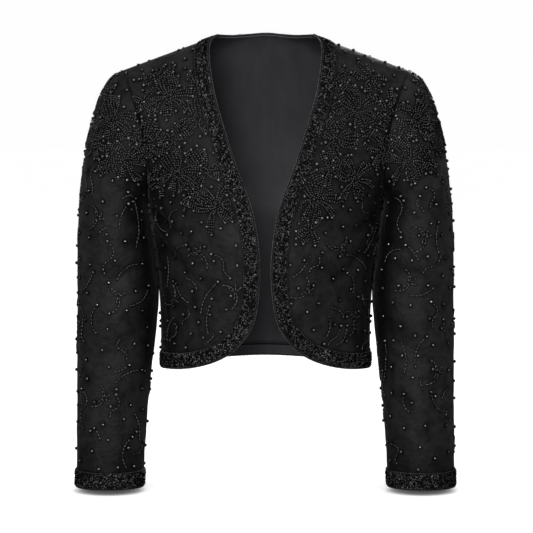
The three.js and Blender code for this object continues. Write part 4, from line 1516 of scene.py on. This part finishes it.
class JACKET_OT_add_front_embroidery(bpy.types.Operator):
    """Add the bead embroidery of the fronts"""

    bl_idname = "jacket.add_front_embroidery"
    bl_label = "Front embroidery"

    def execute(self, context):
        edge_x, edge_z = front_edge_from_ahead(400)
        edge_points = Surface("front").at(*front_edge(200))[0]
        for seed, hand in ((21, LEFT), (22, RIGHT)):
            beading = Beading(Surface("front", hand), seed)
            mirror = np.array([1 if hand == LEFT else -1, 1, 1])

            def inside(u, v):
                points = beading.surface.at(u, v)[0] * mirror
                gap = np.linalg.norm(points[:, None] - edge_points[None], axis=-1).min(1)
                free_x = np.interp(-points[:, 2], -edge_z, edge_x)
                within = (u < 0.991) & (u > 0) & (v > 0.015) & (v < 1.9)
                return within & (gap > BORDER_WIDTH + BORDER_ROOM) & (points[:, 0] > free_x)

            for petals, x, z, heading in FRONT_SPRAYS[hand]:
                beading.spray(petals, *place_from_ahead(FRONT, x, z), heading, inside)
            for x, z, heading in FRONT_SPRIGS[hand]:
                beading.sprig(*place_from_ahead(FRONT, x, z), heading)
            beading.tube_lines(15, (0.2, 0.97), (1.02, 1.86), BODY_LINE_HEADINGS, BODY_LINE_LENGTHS, inside)
            beading.scatter(2600, (0.2, 0.98), (0.03, 1.0), YOKE_BEADS_APART, inside)
            beading.scatter(2600, (0.05, 0.98), (1.0, 1.95), LOWER_BEADS_APART, inside)
            piece = beading.build(f"front_{hand}_embroidery", context.scene.jacket_sizes)
        return {"FINISHED"}


class JACKET_OT_add_back_embroidery(bpy.types.Operator):
    """Add the bead embroidery of the back"""

    bl_idname = "jacket.add_back_embroidery"
    bl_label = "Back embroidery"

    def execute(self, context):
        beading = Beading(Surface("back"), 31)
        neck = beading.surface.at(*back_neck_edge(80))[0]
        hem_top = hem_station(BORDER_WIDTH + 2)

        def inside(u, v):
            points = beading.surface.at(u, v)[0]
            gap = np.linalg.norm(points[:, None] - neck[None], axis=-1).min(1)
            under_neck = (np.abs(points[:, 0]) > NECK_HALF_WIDTH) | (v > NECK_BACK_FALL)
            within = (np.abs(u) < 0.975) & (v > 0.015) & (v < hem_top)
            return within & (gap > BORDER_WIDTH + BORDER_ROOM) & under_neck

        for petals, x, z, heading in BACK_SPRAYS:
            across, down = place_from_ahead(BACK, x, z)
            beading.spray(petals, across, down, heading, inside)
            beading.spray(petals, -across, down, 180 - heading, inside)
        petals, x, z, heading = BACK_MIDDLE_SPRAY
        beading.spray(petals, *place_from_ahead(BACK, x, z), heading, inside)
        for x, z, heading in BACK_SPRIGS:
            beading.sprig(*place_from_ahead(BACK, x, z), heading)
        beading.tube_lines(30, (-0.96, 0.96), (1.04, 1.86), BODY_LINE_HEADINGS, BODY_LINE_LENGTHS, inside)
        beading.scatter(4500, (-0.98, 0.98), (0.03, 1.0), YOKE_BEADS_APART, inside)
        beading.scatter(4500, (-0.98, 0.98), (1.0, 1.95), LOWER_BEADS_APART, inside)
        piece = beading.build("back_embroidery", context.scene.jacket_sizes)
        return {"FINISHED"}


class JACKET_OT_add_sleeve_embroidery(bpy.types.Operator):
    """Add the bead embroidery of the sleeves"""

    bl_idname = "jacket.add_sleeve_embroidery"
    bl_label = "Sleeve embroidery"

    def execute(self, context):
        cuff_top = cuff_station(CUFF_HEIGHT + 3)

        def inside(u, v):
            rubs = (np.abs(np.mod(u, 2 * np.pi) - np.pi) < 0.55) & (v < 8.6)
            return (v > 0.06) & (v < cuff_top) & ~rubs

        for seed, hand in ((41, LEFT), (42, RIGHT)):
            beading = Beading(Surface("sleeve", hand), seed)
            for petals, degrees, section, heading in SLEEVE_SPRAYS[hand]:
                beading.spray(petals, math.radians(degrees), section, heading, inside)
            for degrees, section, heading in SLEEVE_SPRIGS[hand]:
                beading.sprig(math.radians(degrees), section, heading)
            around = (0, 2 * np.pi)
            beading.tube_lines(26, around, (3.4, cuff_top), (90, 86, 95), (36, 72), inside)
            beading.tube_lines(34, around, (3.0, cuff_top), (60, 120, 40, 105, 20), (18, 44), inside)
            beading.scatter(3000, around, (0.12, 3.4), 20.0, inside)
            beading.scatter(6000, around, (3.4, cuff_top), 26.0, inside)
            piece = beading.build(f"sleeve_{hand}_embroidery", context.scene.jacket_sizes)
        return {"FINISHED"}


def put_aimed(thing, place, aim):
    """A lamp or camera in the scene, turned to look at aim."""
    thing.location = place
    thing.rotation_euler = (Vector(aim) - Vector(place)).to_track_quat("-Z", "Y").to_euler()
    bpy.context.scene.collection.objects.link(thing)


class JACKET_OT_add_stage(bpy.types.Operator):
    """Add the pale floor, the studio light and the camera"""

    bl_idname = "jacket.add_stage"
    bl_label = "Stage"

    def execute(self, context):
        scene = context.scene
        mesh = bpy.data.meshes.new("floor")
        ways = ((-1, -1), (1, -1), (1, 1), (-1, 1))
        corners = [(x * FLOOR_REACH, y * FLOOR_REACH, FLOOR_LEVEL) for x, y in ways]
        mesh.from_pydata(corners, [], [(0, 1, 2, 3)])
        mesh.materials.append(finish("floor"))
        floor = bpy.data.objects.new("floor", mesh)
        scene.collection.objects.link(floor)
        floor.visible_glossy = False
        floor.visible_diffuse = False

        world = bpy.data.worlds.new("studio")
        world.use_nodes = True
        nodes, links = world.node_tree.nodes, world.node_tree.links
        seen = next(node for node in nodes if node.type == "BACKGROUND")
        seen.inputs["Color"].default_value = (BACKGROUND_LIGHT, BACKGROUND_LIGHT, BACKGROUND_LIGHT, 1)
        around = nodes.new("ShaderNodeBackground")
        around.inputs["Color"].default_value = (1, 1, 1, 1)
        around.inputs["Strength"].default_value = AROUND_LIGHT
        mix = nodes.new("ShaderNodeMixShader")
        links.new(nodes.new("ShaderNodeLightPath").outputs["Is Camera Ray"], mix.inputs["Fac"])
        links.new(around.outputs["Background"], mix.inputs[1])
        links.new(seen.outputs["Background"], mix.inputs[2])
        output = next(node for node in nodes if node.type == "OUTPUT_WORLD")
        links.new(mix.outputs["Shader"], output.inputs["Surface"])
        world.cycles_visibility.glossy = False
        scene.world = world

        for name, place, size, power in LIGHTS:
            light = bpy.data.lights.new(name, "AREA")
            light.size = size
            light.energy = power
            lamp = bpy.data.objects.new(name, light)
            lamp.visible_glossy = name in LIGHTS_SEEN_IN_GLOSS
            put_aimed(lamp, place, LIGHTS_AIM)

        camera_data = bpy.data.cameras.new("camera")
        camera_data.sensor_width = CAMERA_SENSOR
        camera_data.lens = CAMERA_LENS
        camera = bpy.data.objects.new("camera", camera_data)
        put_aimed(camera, CAMERA_PLACE, CAMERA_AIM)
        scene.camera = camera
        scene.view_settings.view_transform = "Standard"
        return {"FINISHED"}


class JACKET_PT_panel(bpy.types.Panel):
    """Lists the jacket's pieces and settings"""

    bl_label = "Beaded Bolero Jacket"
    bl_idname = "JACKET_PT_panel"
    bl_space_type = "VIEW_3D"
    bl_region_type = "UI"
    bl_category = "Jacket"

    def draw(self, context):
        for group in (context.scene.jacket_sizes, context.scene.jacket_colors):
            box = self.layout.box()
            for name in type(group).__annotations__:
                box.prop(group, name)
        for operator in OPERATORS:
            self.layout.operator(operator.bl_idname)


OPERATORS = (
    JACKET_OT_add_stage,
    JACKET_OT_add_fronts,
    JACKET_OT_add_back,
    JACKET_OT_add_sleeves,
    JACKET_OT_add_lining,
    JACKET_OT_add_borders,
    JACKET_OT_add_front_embroidery,
    JACKET_OT_add_back_embroidery,
    JACKET_OT_add_sleeve_embroidery,
)
CLASSES = (JacketSizes, JacketColors, *OPERATORS, JACKET_PT_panel)


def register():
    for each in CLASSES:
        bpy.utils.register_class(each)
    bpy.types.Scene.jacket_sizes = bpy.props.PointerProperty(type=JacketSizes)
    bpy.types.Scene.jacket_colors = bpy.props.PointerProperty(type=JacketColors)


def unregister():
    del bpy.types.Scene.jacket_colors
    del bpy.types.Scene.jacket_sizes
    for each in reversed(CLASSES):
        bpy.utils.unregister_class(each)


def main():
    """Register the classes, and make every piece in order."""
    register()
    for operator in OPERATORS:
        group, name = operator.bl_idname.split(".")
        getattr(getattr(bpy.ops, group), name)()


if __name__ == "__main__":
    main()
